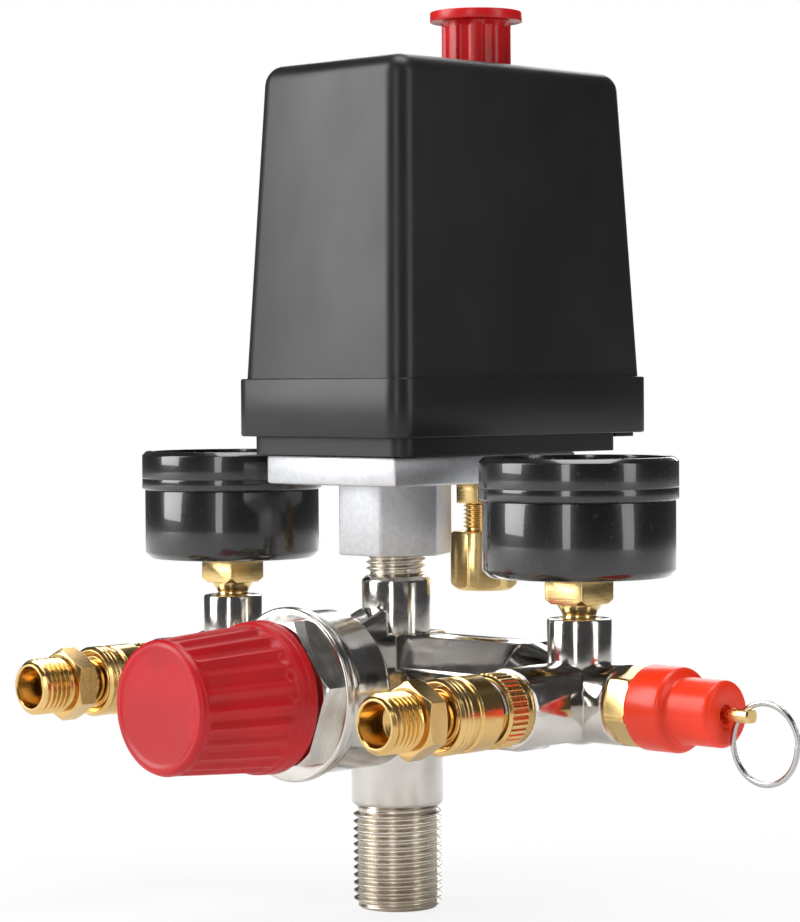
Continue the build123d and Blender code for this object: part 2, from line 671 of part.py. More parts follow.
def switch_cover():
    """Drafted hood with a collar round its foot."""
    foot = (COVER_FOOT_WIDTH, COVER_FOOT_DEPTH)
    top = (COVER_TOP_WIDTH, COVER_TOP_DEPTH)
    depth = COLLAR_BACK - COLLAR_FRONT
    hood = drafted_block(foot, top, COVER_CORNER, COVER_Z, TOP_Z, COVER_Y)
    hood = fillet(hood.faces().sort_by(Axis.Z)[-1].edges(), COVER_TOP_EDGE)
    shape = hood + rounded_block(COLLAR_WIDTH, depth, COLLAR_CORNER, COLLAR_Z, COVER_Z, COVER_Y)
    places = grommet_places()
    for place in places:
        shape += rod("Y", GROMMET_PAD_R, pad_face() - PAD_DEPTH, pad_face(), place)
    wall = 2 * COVER_WALL
    corner = COVER_CORNER - COVER_WALL
    inner_foot = (foot[0] - wall, foot[1] - wall)
    inner_top = (top[0] - wall, top[1] - wall)
    shape -= drafted_block(inner_foot, inner_top, corner, COVER_Z, TOP_Z - COVER_WALL, COVER_Y)
    shape -= rounded_block(COLLAR_WIDTH - wall, depth - wall, corner, COLLAR_Z, COVER_Z, COVER_Y)
    for place in places:
        shape -= rod("Y", GROMMET_R + SEATED, pad_face() - 2 * PAD_DEPTH, pad_face(), place)
    shape -= rod("Z", BUTTON_STEM_R + LOOSE, TOP_Z - 2 * COVER_WALL, TOP_Z, (0, BUTTON_Y))
    place = (0, COVER_SCREW_Y)
    well = TOP_Z - COVER_WELL_DEPTH
    shape += rod("Z", COVER_WELL_R + COVER_WELL_WALL, well - COVER_WALL, TOP_Z - COVER_WALL / 2, place)
    shape -= rod("Z", COVER_WELL_R, well, TOP_Z, place)
    shape -= rod("Z", COVER_SCREW_R + LOOSE, well - COVER_WALL, well, place)
    return shape


def cover_screw():
    seat = TOP_Z - COVER_WELL_DEPTH
    top = seat + COVER_SCREW_HEAD_T
    place = (0, COVER_SCREW_Y)
    sizes = (COVER_SCREW_R, COVER_SCREW_HEAD_R, BRIDGE_Z, seat, top)
    return slotted_screw(*sizes, place, COVER_SCREW_HEAD_T / 2, SLOT_W)


def gland_plate():
    """Ribbed strip that closes the gap between the base and the collar's rear wall."""
    half = BASE_WIDTH / 2 - GLAND_INSET
    low = COLLAR_Z - GLAND_DROP
    shape = block(-half, half, GLAND_FRONT, GLAND_BACK, low, low + GLAND_H)
    pitch = 2 * half / GLAND_RIBS
    for i in range(GLAND_RIBS):
        x = -half + (i + 0.5) * pitch
        groove = (x - pitch / 5, x + pitch / 5, GLAND_BACK - GLAND_GROOVE, GLAND_BACK)
        shape -= block(*groove, low, low + GLAND_H)
    return shape


def cable_grommets():
    """Two rubber grommets in the hood's rear wall, one for each cable."""
    face = pad_face()
    grommets = []
    for place in grommet_places():
        shape = rod("Y", GROMMET_R, face - GROMMET_LENGTH, face, place)
        shape += rod("Y", GROMMET_FLANGE_R, face, face + GROMMET_FLANGE_T, place)
        shape -= rod("Y", GROMMET_BORE_R, face - GROMMET_LENGTH, face + GROMMET_FLANGE_T, place)
        grommets.append(shape)
    return Compound(grommets)


# ---- on-off knob and its trip lever ----------------------------------------------
def on_off_knob():
    at = (0, BUTTON_Y)
    flange_z = TOP_Z + BUTTON_SHOWN
    tip = TRIP_Z + TRIP_T / 2 + NEAR
    steps = [
        (tip, BUTTON_TIP_R),
        (tip + BUTTON_TIP_LENGTH, BUTTON_ROD_R),
        (TOP_Z - BUTTON_STEM_IN, BUTTON_ROD_R),
        (TOP_Z - BUTTON_STEM_IN, BUTTON_STEM_R),
        (flange_z, BUTTON_STEM_R),
        (flange_z, BUTTON_R),
        (flange_z + BUTTON_T - EDGE, BUTTON_R),
        (flange_z + BUTTON_T, BUTTON_R - EDGE),
        (flange_z + BUTTON_T + BUTTON_DOME, BUTTON_R / 2),
    ]
    shape = turned("Z", steps, at)
    for i in range(BUTTON_RIBS):
        angle = radians(360 * (i + 0.5) / BUTTON_RIBS)
        reach = BUTTON_STEM_R + BUTTON_GROOVE_OUT
        groove = (reach * cos(angle), BUTTON_Y + reach * sin(angle))
        shape -= rod("Z", BUTTON_GROOVE_R, TOP_Z - BUTTON_STEM_IN, flange_z - BUTTON_GROOVE_END, groove)
    return shape


def trip_lever():
    """Lever under the knob's rod, on stub pins in the frame's lugs."""
    at = (TRIP_Y, TRIP_Z)
    half = CHEEK_X - LOOSE
    pin = CHEEK_X + FRAME_T
    shape = rod("X", KNUCKLE_R, -half, half, at)
    shape += rod("X", PIN_R, -pin, pin, at)
    shape += block(-TRIP_HALF, TRIP_HALF, TRIP_Y, TRIP_BACK, TRIP_Z - TRIP_T / 2, TRIP_Z + TRIP_T / 2)
    return shape


# ---- switch works ----------------------------------------------------------------
def steel_frame():
    """Pressed frame: a floor, two cheeks and a bridge that takes the range bolt."""
    floor_top = FLOOR_Z + FRAME_T
    shape = block(-FRAME_HALF, FRAME_HALF, FRAME_FRONT, FRAME_BACK, FLOOR_Z, floor_top)
    outer = CHEEK_X + FRAME_T
    for _, side in SIDES:
        x0, x1 = sorted((side * CHEEK_X, side * outer))
        shape += block(x0, x1, CHEEK_FRONT, CHEEK_BACK, FLOOR_Z, BRIDGE_Z)
        shape += block(x0, x1, TRIP_Y - LUG_HALF, TRIP_Y + LUG_HALF, BRIDGE_Z - BRIDGE_T, LUG_TOP)
    shape += block(-outer, outer, CHEEK_FRONT, BRIDGE_BACK, BRIDGE_Z - BRIDGE_T, BRIDGE_Z)
    shape -= rod("X", PIN_R + SEATED, -outer, outer, (LEVER_PIVOT_Y, LEVER_Z))
    shape -= rod("X", PIN_R + RUNNING, -outer, outer, (TRIP_Y, TRIP_Z))
    shape -= rod("Z", RANGE_BOLT_R + SEATED, BRIDGE_Z - BRIDGE_T, BRIDGE_Z)
    return shape - base_holes()


def lever_pin():
    half = CHEEK_X + FRAME_T + PIN_END
    at = (LEVER_PIVOT_Y, LEVER_Z)
    return rod("X", PIN_R, -half, half, at)


def pressure_lever():
    """Rocker between the plunger at its front and the unloader pin at its back."""
    at = (LEVER_PIVOT_Y, LEVER_Z)
    half = LEVER_HALF
    shape = block(-half, half, LEVER_FRONT, LEVER_BACK, LEVER_FACE, LEVER_TOP)
    shape += rod("X", KNUCKLE_R, -half, half, at)
    shape -= rod("X", PIN_R + RUNNING, -half, half, at)
    return shape


def switch_diaphragm():
    return rod("Z", RECESS_R - SEATED, DIAPHRAGM_Z, DIAPHRAGM_Z + SWITCH_DIAPHRAGM_T)


def plunger():
    """Foot on the diaphragm, and a stem whose blunt tip lifts the lever."""
    low = DIAPHRAGM_Z + SWITCH_DIAPHRAGM_T + NEAR
    shape = rod("Z", PLUNGER_FOOT_R, low, low + PLUNGER_FOOT_T)
    tip = LEVER_FACE - NEAR
    shape += rod("Z", PLUNGER_R, low, tip - PLUNGER_TIP_LENGTH)
    return shape + cone("Z", PLUNGER_R, PLUNGER_TIP_R, tip - PLUNGER_TIP_LENGTH, tip)


def range_cap_z():
    return LEVER_TOP + RANGE_SPRING_LENGTH


def range_bolt():
    """Setting bolt; its cap presses the range spring on the lever."""
    cap = range_cap_z()
    top = BRIDGE_Z + RANGE_BOLT_UP
    shape = rod("Z", RANGE_CAP_R, cap, cap + RANGE_CAP_T)
    shape += rod("Z", RANGE_BOLT_R, cap, top)
    return shape + prism("Z", RANGE_HEX_FLATS, 6, top, top + RANGE_HEX_T)


def range_nut():
    shape = prism("Z", RANGE_HEX_FLATS, 6, BRIDGE_Z, BRIDGE_Z + RANGE_NUT_T)
    return shape - rod("Z", RANGE_BOLT_R + SEATED, BRIDGE_Z, BRIDGE_Z + RANGE_NUT_T)


def range_spring():
    return spring("Z", RANGE_SPRING_R, RANGE_WIRE_R, LEVER_TOP, range_cap_z(), 6)


def contact_block():
    """Moulded block with the fixed contacts below and the terminals on top."""
    half = BLOCK_HALF
    shape = block(-half, half, BLOCK_COLUMN, BLOCK_BACK, FLOOR_Z, BLOCK_TOP)
    shape += block(-half, half, BLOCK_FRONT, BLOCK_BACK, BLOCK_FOOT, BLOCK_TOP)
    for x in POLE_X:
        shape -= rod("Z", TERMINAL_R + SEATED, BLOCK_TOP - TERMINAL_DEPTH, BLOCK_TOP, (x, TERMINAL_Y))
    return shape


def terminals():
    """Four strips from the fixed contacts up to the terminal screws."""
    strips = []
    for x in POLE_X:
        x0, x1 = x - STRIP_WIDTH / 2, x + STRIP_WIDTH / 2
        front = BLOCK_FRONT - STRIP_T
        top = BLOCK_TOP + STRIP_T
        strip = block(x0, x1, front, BRIDGE_BAR_Y + STRIP_LAP, BLOCK_FOOT - STRIP_T, BLOCK_FOOT)
        strip += block(x0, x1, front, BLOCK_FRONT, BLOCK_FOOT - STRIP_T, top)
        strip += block(x0, x1, front, TERMINAL_Y + STRIP_LAP, BLOCK_TOP, top)
        contact = BLOCK_FOOT - STRIP_T - CONTACT_T
        strip += rod("Z", CONTACT_R, contact, BLOCK_FOOT, (x, BRIDGE_BAR_Y))
        strip -= rod("Z", TERMINAL_R + SEATED, BLOCK_TOP, top, (x, TERMINAL_Y))
        strips.append(strip)
    return Compound(strips)


def terminal_screws():
    seat = BLOCK_TOP + STRIP_T
    sizes = (TERMINAL_R, TERMINAL_HEAD_R, BLOCK_TOP - TERMINAL_DEPTH, seat, seat + TERMINAL_HEAD_T)
    slot = (TERMINAL_SLOT, SLOT_W)
    return Compound([slotted_screw(*sizes, (x, TERMINAL_Y), *slot) for x in POLE_X])


def contact_bridge():
    """Carrier on the lever with one bar for each pole."""
    y = BRIDGE_BAR_Y
    contact = BLOCK_FOOT - STRIP_T - CONTACT_T - NEAR
    top = contact - BAR_DROP
    low = top - BAR_T
    half = CARRIER_HALF
    front, back = y - CARRIER_DEPTH, y + CARRIER_DEPTH
    carrier = block(-half, half, front, back, LEVER_TOP + NEAR, top)
    carrier += block(POLE_X[0] - BAR_HALF, POLE_X[-1] + BAR_HALF, y - BAR_HALF, y + BAR_HALF, low, top)
    for x in POLE_X:
        carrier += rod("Z", CONTACT_R, top, contact, (x, y))
    return carrier


# ---- regulator -------------------------------------------------------------------
def regulator_diaphragm():
    shape = rod("Y", CUP_FLANGE_R - DIAPHRAGM_SHORT, BONNET, CUP)
    return shape + rod("Y", DIAPHRAGM_PAD_R, BONNET - DIAPHRAGM_PAD_T, CUP)


def regulator_bonnet():
    flange = BONNET - BONNET_FLANGE_T
    shape = rod("Y", BONNET_R, flange, BONNET)
    hexagon = prism("Y", BONNET_FLATS, 6, HEX_FACE, flange, turn=BONNET_TURN)
    corner = BONNET_FLATS / 2 / cos(radians(30))
    crown = [(HEX_FACE, corner - BONNET_CROWN), (HEX_FACE + BONNET_CROWN, corner), (flange, corner)]
    shape += hexagon & turned("Y", crown)
    shape += rod("Y", SLEEVE_R, SLEEVE_FACE, HEX_FACE)
    shape -= rod("Y", SLEEVE_BORE_R, SLEEVE_FACE + SLEEVE_END, BONNET)
    return shape - rod("Y", SPINDLE_R + RUNNING, SLEEVE_FACE, BONNET)


def regulator_spindle():
    """Screw held in the bonnet by its collar, with a six-sided head for the knob."""
    shape = prism("Y", SPINDLE_FLATS, 6, SLEEVE_FACE - SPINDLE_HEAD, SLEEVE_FACE - NEAR)
    shape += rod("Y", SPINDLE_R, SLEEVE_FACE - NEAR, SEAT_FACE + SEAT_T + SPINDLE_END)
    return shape + rod("Y", SPINDLE_COLLAR_R, COLLAR_SEAT, COLLAR_SEAT + SPINDLE_COLLAR_T)


def regulator_seat():
    shape = rod("Y", SLEEVE_BORE_R - RUNNING, SEAT_FACE, SEAT_FACE + SEAT_T)
    return shape - rod("Y", SPINDLE_R + RUNNING, SEAT_FACE, SEAT_FACE + SEAT_T)


def regulator_spring():
    mean = DIAPHRAGM_PAD_R - REGULATOR_WIRE_R
    start, end = SEAT_FACE + SEAT_T, BONNET - DIAPHRAGM_PAD_T
    return spring("Y", mean, REGULATOR_WIRE_R, start, end, 4)


def regulator_poppet():
    disc = -VALVE_SEAT_Y + VALVE_SEAT_T + NEAR
    shape = rod("Y", POPPET_STEM_R, CUP + NEAR, disc)
    return shape + rod("Y", POPPET_R, disc, disc + POPPET_T)


def regulator_knob():
    """Fluted cap over the bonnet's tube, plain and stepped at its rear edge."""
    skirt = KNOB_REAR - KNOB_SKIRT
    step_r = KNOB_REAR_R - KNOB_STEP
    nose = KNOB_FACE + KNOB_NOSE
    steps = [
        (KNOB_FACE, KNOB_FRONT_R - KNOB_NOSE),
        (KNOB_FACE + KNOB_NOSE / 3, KNOB_FRONT_R - KNOB_NOSE / 3),
        (nose, KNOB_FRONT_R),
        (skirt, step_r),
        (skirt + FINE_EDGE, KNOB_REAR_R - FINE_EDGE),
        (KNOB_REAR, KNOB_REAR_R),
    ]
    shape = turned("Y", steps)
    slope = (step_r - KNOB_FRONT_R) / (skirt - nose)
    flute_start = KNOB_FACE + FLUTE_START
    flute_length = skirt - FLUTE_END - flute_start
    start_r = KNOB_FRONT_R + (flute_start - nose) * slope + FLUTE_OUT
    for i in range(KNOB_FLUTES):
        angle = radians(360 * i / KNOB_FLUTES)
        heading = Vector(slope * cos(angle), 1, slope * sin(angle))
        spot = (start_r * cos(angle), flute_start, AXIS_Z + start_r * sin(angle))
        flute = Cylinder(FLUTE_R, flute_length, align=MIN_Z)
        shape -= Plane(origin=spot, z_dir=heading) * flute
    shape -= rod("Y", SLEEVE_R + LOOSE, SLEEVE_FACE - KNOB_PULL, KNOB_REAR)
    socket = SLEEVE_FACE - SPINDLE_HEAD - KNOB_CROWN
    return shape - prism("Y", SPINDLE_FLATS + 2 * RUNNING, 6, socket, KNOB_REAR)


# ---- quick couplers, each on the axis of its tee ---------------------------------
def coupler_socket(x):
    at = (x, AXIS_Z)
    steps = [
        (TUBE_FACE, TUBE_R),
        (RING_FACE, TUBE_R),
        (RING_FACE, RING_R),
        (RING_BACK, RING_R),
        (RING_BACK, RING_FOOT_R),
        (-FRONT_PORT, RING_FOOT_R),
        (-FRONT_PORT, PORT_THREAD_R - SEATED),
        (-FRONT_PORT + PORT_DEPTH - THREAD_SHORT, PORT_THREAD_R - SEATED),
    ]
    shape = turned("Y", steps, at)
    shape -= rod("Y", CROSS_BORE_R, TUBE_FACE, 0, at)
    shape -= rod("Y", NOSE_R + RUNNING, TUBE_FACE, NOSE_BACK + LOOSE, at)
    for angle in ball_angles():
        hole = Cylinder(BALL_R + SEATED, TUBE_R, align=MIN_Z)
        shape -= Plane(origin=(x, BALL_Y, AXIS_Z), z_dir=(cos(angle), 0, sin(angle))) * hole
    return shape


def ball_angles():
    return [radians(360 * (i + 0.5) / BALL_COUNT) for i in range(BALL_COUNT)]


def coupler_balls():
    """The locking balls of both couplers, in the holes of the socket tubes."""
    reach = TUBE_R - BALL_R
    balls = []
    for _, side in SIDES:
        for a in ball_angles():
            spot = (side * ARM + reach * cos(a), BALL_Y, AXIS_Z + reach * sin(a))
            balls.append(Location(spot) * Sphere(BALL_R))
    return Compound(balls)


def coupler_sleeve(x):
    """Sliding sleeve: a collar, a groove, a barrel, and room inside for the balls."""
    at = (x, AXIS_Z)
    outer = COUPLER_SLEEVE_R
    collar = SLEEVE_FRONT + COLLAR_LENGTH
    groove = collar + GROOVE_LENGTH
    steps = [
        (SLEEVE_FRONT, outer - SLEEVE_EDGE),
        (SLEEVE_FRONT + SLEEVE_EDGE, outer),
        (collar - FINE_EDGE, outer),
        (collar, GROOVE_R),
        (groove, GROOVE_R),
        (groove + FINE_EDGE, outer),
        (SLEEVE_TAIL - FINE_EDGE, outer),
        (SLEEVE_TAIL, outer - FINE_EDGE),
    ]
    shape = turned("Y", steps, at)
    shape -= rod("Y", TUBE_R + RUNNING, SLEEVE_FRONT, SLEEVE_TAIL, at)
    shape -= rod("Y", TUBE_R + SLEEVE_MOUTH, SLEEVE_FRONT, BALL_Y - BALL_R - BALL_SET, at)
    return shape - rod("Y", SPRING_ROOM_R, SLEEVE_TAIL - SPRING_ROOM_LENGTH, SLEEVE_TAIL, at)


def coupler_spring(x):
    mean = (TUBE_R + SPRING_ROOM_R) / 2
    start = SLEEVE_TAIL - SPRING_ROOM_LENGTH
    return spring("Y", mean, COUPLER_WIRE_R, start, RING_FACE, 5, (x, AXIS_Z))


def coupler_plug(x):
    at = (x, AXIS_Z)
    shape = rod("Y", PORT_THREAD_R, PLUG_FACE, PLUG_SHOULDER, at)
    hexagon = prism("Y", PLUG_FLATS, 6, PLUG_SHOULDER, PLUG_HEX, at, turn=30)
    corner = PLUG_FLATS / 2 / cos(radians(30))
    crown = [
        (PLUG_SHOULDER, corner - PLUG_CROWN),
        (PLUG_SHOULDER + EDGE, corner),
        (PLUG_HEX - EDGE, corner),
        (PLUG_HEX, corner - PLUG_CROWN),
    ]
    shape += hexagon & turned("Y", crown, at)
    groove = (BALL_Y - NOSE_GROOVE_W / 2, BALL_Y + NOSE_GROOVE_W / 2)
    nose = [
        (PLUG_HEX, PLUG_NECK_R),
        (TUBE_FACE - PLUG_GAP, PLUG_NECK_R),
        (TUBE_FACE - PLUG_GAP, NOSE_R),
        (groove[0], NOSE_R),
        (groove[0] + FINE_EDGE, NOSE_GROOVE_R),
        (groove[1] - FINE_EDGE, NOSE_GROOVE_R),
        (groove[1], NOSE_R),
        (NOSE_BACK - NOSE_CHAMFER, NOSE_R),
        (NOSE_BACK, NOSE_R - NOSE_CHAMFER),
    ]
    shape += turned("Y", nose, at)
    shape -= rod("Y", PLUG_MOUTH_R, PLUG_FACE, PLUG_FACE + PLUG_MOUTH_DEPTH, at)
    return shape - rod("Y", PLUG_BORE_R, PLUG_FACE, NOSE_BACK, at)


# ---- safety valve ----------------------------------------------------------------
def relief_body():
    tube_end = CAP_X + RELIEF_TUBE_LENGTH
    shape = rod("X", PORT_THREAD_R - SEATED, VALVE_X - RELIEF_THREAD, VALVE_X)
    shape += prism("X", RELIEF_FLATS, 6, VALVE_X, CAP_X, turn=15)
    shape += rod("X", RELIEF_TUBE_R, CAP_X, tube_end)
    shape -= rod("X", RELIEF_POPPET_R + LOOSE, RELIEF_SEAT, tube_end)
    return shape - rod("X", RELIEF_INLET_R, VALVE_X - RELIEF_THREAD, tube_end)


def relief_cap():
    steps = [
        (CAP_X, CAP_R - EDGE),
        (CAP_X + EDGE, CAP_R),
        (TIP_X - CAP_SHOULDER, CAP_R),
        (TIP_X, CAP_TIP_R + EDGE),
        (TIP_X + EDGE, CAP_TIP_R),
        (CAP_END - CAP_EDGE, CAP_TIP_R),
        (CAP_END, CAP_TIP_R - CAP_EDGE),
    ]
    shape = turned("X", steps)
    shape -= rod("X", RELIEF_TUBE_R + SEATED, CAP_X, CAP_X + RELIEF_TUBE_LENGTH + NEAR)
    shape -= rod("X", RELIEF_POPPET_R + LOOSE, CAP_X, CAP_END - CAP_WALL)
    shape -= rod("X", STEM_R + RUNNING, CAP_X, CAP_END)
    return shape - rod("X", CAP_RECESS_R, CAP_END - CAP_RECESS, CAP_END)


def relief_stem():
    """Poppet, stem and a flattened eye with a slot for the pull ring."""
    poppet = RELIEF_SEAT + NEAR
    head_end = HEAD_X + STEM_HEAD_LENGTH
    shape = rod("X", RELIEF_POPPET_R, poppet, poppet + RELIEF_POPPET_T)
    shape += rod("X", STEM_R, poppet, HEAD_X + STEM_HEAD_TAPER)
    steps = [
        (HEAD_X, STEM_R),
        (HEAD_X + STEM_HEAD_TAPER, STEM_HEAD_R),
        (head_end - FINE_EDGE, STEM_HEAD_R),
        (head_end, STEM_HEAD_R - FINE_EDGE),
    ]
    low, high = AXIS_Z - EYE_HALF, AXIS_Z + EYE_HALF
    flats = block(HEAD_X, head_end, -STEM_HEAD_R, STEM_HEAD_R, low, high)
    shape += turned("X", steps) & flats
    droop = radians(PULL_DROOP)
    lean = EYE_HALF * tan(droop) + PULL_WIRE_R / cos(droop) + EYE_SPARE
    half = EYE_WIDTH / 2
    slot = block(EYE_X - lean + half, EYE_X + lean - half, -half, half, low, high)
    slot += rod("Z", half, low, high, (EYE_X - lean + half, 0))
    slot += rod("Z", half, low, high, (EYE_X + lean - half, 0))
    return shape - slot


def relief_spring():
    start = RELIEF_SEAT + NEAR + RELIEF_POPPET_T
    mean = RELIEF_POPPET_R - RELIEF_WIRE_R
    return spring("X", mean, RELIEF_WIRE_R, start, CAP_END - CAP_WALL, 8)


def pull_ring():
    droop = radians(PULL_DROOP)
    centre = (EYE_X + PULL_RING_R * cos(droop), 0, AXIS_Z - PULL_RING_R * sin(droop))
    return Location(centre, (90, 0, 0)) * Torus(PULL_RING_R, PULL_WIRE_R)


# ---- gauges, each on the axis of its tee -----------------------------------------
def gauge_socket(x):
    at = (x, 0)
    wrench = GAUGE_PORT_Z + GAUGE_NECK
    half = WRENCH_SIDE / 2
    thread_foot = GAUGE_PORT_Z - GAUGE_THREAD_DEPTH + THREAD_SHORT / 2
    shape = rod("Z", GAUGE_THREAD_R - SEATED, thread_foot, GAUGE_PORT_Z, at)
    foot_r, top_r = GAUGE_THREAD_R - STEM_NARROWS, GAUGE_THREAD_R + WRENCH_GAP
    shape += cone("Z", foot_r, top_r, GAUGE_PORT_Z, wrench, at)
    shape += block(x - half, x + half, -half, half, wrench, CASE_Z)
    post = POST_SIDE / 2
    shape += block(x - post, x + post, -post, post, CASE_Z, CASE_Z + POST_H)
    return shape - rod("Z", GAUGE_BORE_R, thread_foot, CASE_Z + POST_H / 2, at)


def gauge_case(x):
    at = (x, 0)
    shape = rod("Z", CASE_R, CASE_Z, CASE_TOP, at)
    shape -= rod("Z", CASE_R - CASE_WALL, CASE_Z + CASE_FLOOR, CASE_TOP, at)
    post = POST_SIDE / 2 + SEATED
    return shape - block(x - post, x + post, -post, post, CASE_Z, CASE_Z + CASE_FLOOR)


def gauge_bezel(x):
    """Ring over the case's rim, with a lip in front of the lens."""
    at = (x, 0)
    foot = CASE_TOP
    steps = [
        (foot, BEZEL_R - FINE_EDGE),
        (foot + FINE_EDGE, BEZEL_R),
        (BEZEL_TOP - BEZEL_EDGE, BEZEL_R),
        (BEZEL_TOP, BEZEL_R - BEZEL_EDGE),
    ]
    shape = turned("Z", steps, at)
    shape -= rod("Z", lens_r() + SEATED, foot, BEZEL_TOP - LENS_DROP, at)
    return shape - rod("Z", BEZEL_R - BEZEL_LIP, foot, BEZEL_TOP, at)


def lens_r():
    return BEZEL_R - BEZEL_WALL


def gauge_lens(x):
    top = BEZEL_TOP - LENS_DROP
    return rod("Z", lens_r(), top - LENS_T, top, (x, 0))


def gauge_dial(x):
    at = (x, 0)
    low = CASE_TOP + DIAL_Z
    shape = rod("Z", lens_r() - DIAL_SHORT, low, low + DIAL_T, at)
    return shape - rod("Z", ARBOR_R + LOOSE, low, low + DIAL_T, at)


def gauge_pointer(x):
    """Pointer and its arbor; at zero it points to the front left of the dial."""
    at = (x, 0)
    low = CASE_TOP + DIAL_Z + DIAL_T + POINTER_UP
    shape = rod("Z", ARBOR_R, CASE_TOP - ARBOR_DEPTH, low + POINTER_HUB_T, at)
    shape += rod("Z", POINTER_HUB_R, low, low + POINTER_HUB_T, at)
    tail = [(-POINTER_TAIL, POINTER_ROOT), (-POINTER_TAIL, -POINTER_ROOT)]
    tip = [(POINTER_LENGTH, -POINTER_TIP), (POINTER_LENGTH, POINTER_TIP)]
    blade = extrude(make_face(Polyline(*tail, *tip, close=True)), POINTER_T)
    return shape + Location((x, 0, low), (0, 0, POINTER_ZERO)) * blade


def gauge_movements():
    """The plates that carry each arbor, with their pillars on the socket's post."""
    movements = []
    foot = CASE_Z + POST_H
    top = CASE_TOP - PLATE_DOWN
    for _, side in SIDES:
        x = side * ARM
        shape = block(x - PLATE_X, x + PLATE_X, -PLATE_Y, PLATE_Y, foot, foot + PLATE_T)
        shape += block(x - PLATE_X, x + PLATE_X, -PLATE_Y, PLATE_Y, top - PLATE_T, top)
        for dx in (-PILLAR_X, PILLAR_X):
            shape += rod("Z", PILLAR_R, foot, top, (x + dx, PILLAR_Y))
        movements.append(shape - rod("Z", ARBOR_R + RUNNING, top - PLATE_T, top, (x, 0)))
    return Compound(movements)


def bourdon_tubes():
    """The curved pressure tube of each gauge, from its post round to the free end."""
    tubes = []
    height = CASE_Z + POST_H / 2 + BOURDON_UP
    for _, side in SIDES:
        x = side * ARM
        section = Plane.XZ * Location((TUBE_BEND_R, 0)) * Ellipse(BOURDON_R / 2, BOURDON_R)
        bend = revolve(section, Axis.Z, BOURDON_SWEEP)
        tube = Location((x, 0, height), (0, 0, BOURDON_START)) * bend
        reach = radians(BOURDON_START)
        foot = Plane(origin=(x, 0, height), z_dir=(cos(reach), sin(reach), 0))
        tube += foot * Cylinder(BOURDON_R / 2, TUBE_BEND_R, align=MIN_Z)
        post = POST_SIDE / 2 + SEATED
        tube -= block(x - post, x + post, -post, post, CASE_Z, CASE_TOP)
        tubes.append(tube)
    return Compound(tubes)


# ---- every node ------------------------------------------------------------------
NODES = {
    "manifold_body": manifold_body,
    "switch_hub": switch_hub,
    "hub_screws": hub_screws,
    "unloader_body": unloader_body,
    "unloader_nut": unloader_nut,
    "unloader_pin": unloader_pin,
    "switch_base": switch_base,
    "switch_cover": switch_cover,
    "cover_screw": cover_screw,
    "gland_plate": gland_plate,
    "cable_grommets": cable_grommets,
    "on_off_knob": on_off_knob,
    "trip_lever": trip_lever,
    "steel_frame": steel_frame,
    "lever_pin": lever_pin,
    "pressure_lever": pressure_lever,
    "switch_diaphragm": switch_diaphragm,
    "plunger": plunger,
    "range_bolt": range_bolt,
    "range_nut": range_nut,
    "range_spring": range_spring,
    "contact_block": contact_block,
    "terminals": terminals,
    "terminal_screws": terminal_screws,
    "contact_bridge": contact_bridge,
    "regulator_diaphragm": regulator_diaphragm,
    "regulator_bonnet": regulator_bonnet,
    "regulator_spindle": regulator_spindle,
    "regulator_seat": regulator_seat,
    "regulator_spring": regulator_spring,
    "regulator_poppet": regulator_poppet,
    "regulator_knob": regulator_knob,
    "coupler_balls": coupler_balls,
    "relief_body": relief_body,
    "relief_cap": relief_cap,
    "relief_stem": relief_stem,
    "relief_spring": relief_spring,
    "pull_ring": pull_ring,
    "gauge_movements": gauge_movements,
    "bourdon_tubes": bourdon_tubes,
}

SIDED_NODES = {
    "coupler_socket": coupler_socket,
    "coupler_sleeve": coupler_sleeve,
    "coupler_spring": coupler_spring,
    "coupler_plug": coupler_plug,
    "gauge_socket": gauge_socket,
    "gauge_case": gauge_case,
    "gauge_bezel": gauge_bezel,
    "gauge_lens": gauge_lens,
    "gauge_dial": gauge_dial,
    "gauge_pointer": gauge_pointer,
}

os.makedirs("parts", exist_ok=True)
for node, make in NODES.items():
    export_step(make(), f"parts/{node}.step")
for node, make in SIDED_NODES.items():
    for name, side in SIDES:
        export_step(make(side * ARM), f"parts/{node}_{name}.step")
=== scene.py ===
"""Looks of an air compressor's pressure switch on its manifold, with a regulator, two gauges,
two quick couplers and a safety valve.

Sizes are in millimetres and become metres when a mesh is finished. +Z is up, +X points to the
safety valve and -Y to the regulator's knob.
"""
from math import atan2, ceil, cos, hypot, pi, radians, sin, tan

import bmesh
import bpy
from mathutils import Matrix, Vector


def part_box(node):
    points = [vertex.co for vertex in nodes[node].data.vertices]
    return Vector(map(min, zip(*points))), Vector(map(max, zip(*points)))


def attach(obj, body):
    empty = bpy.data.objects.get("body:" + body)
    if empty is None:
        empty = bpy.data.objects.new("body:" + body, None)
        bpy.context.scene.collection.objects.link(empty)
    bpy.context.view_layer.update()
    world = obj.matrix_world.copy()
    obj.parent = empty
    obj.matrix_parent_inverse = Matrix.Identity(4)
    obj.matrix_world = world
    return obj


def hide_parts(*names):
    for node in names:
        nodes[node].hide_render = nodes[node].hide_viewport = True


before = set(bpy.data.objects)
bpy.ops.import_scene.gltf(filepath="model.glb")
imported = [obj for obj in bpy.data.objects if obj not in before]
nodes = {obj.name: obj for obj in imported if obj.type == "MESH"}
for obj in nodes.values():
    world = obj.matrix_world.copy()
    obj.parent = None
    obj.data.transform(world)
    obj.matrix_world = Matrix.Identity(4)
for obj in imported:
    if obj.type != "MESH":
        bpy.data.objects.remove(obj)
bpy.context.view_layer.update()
scene = bpy.context.scene

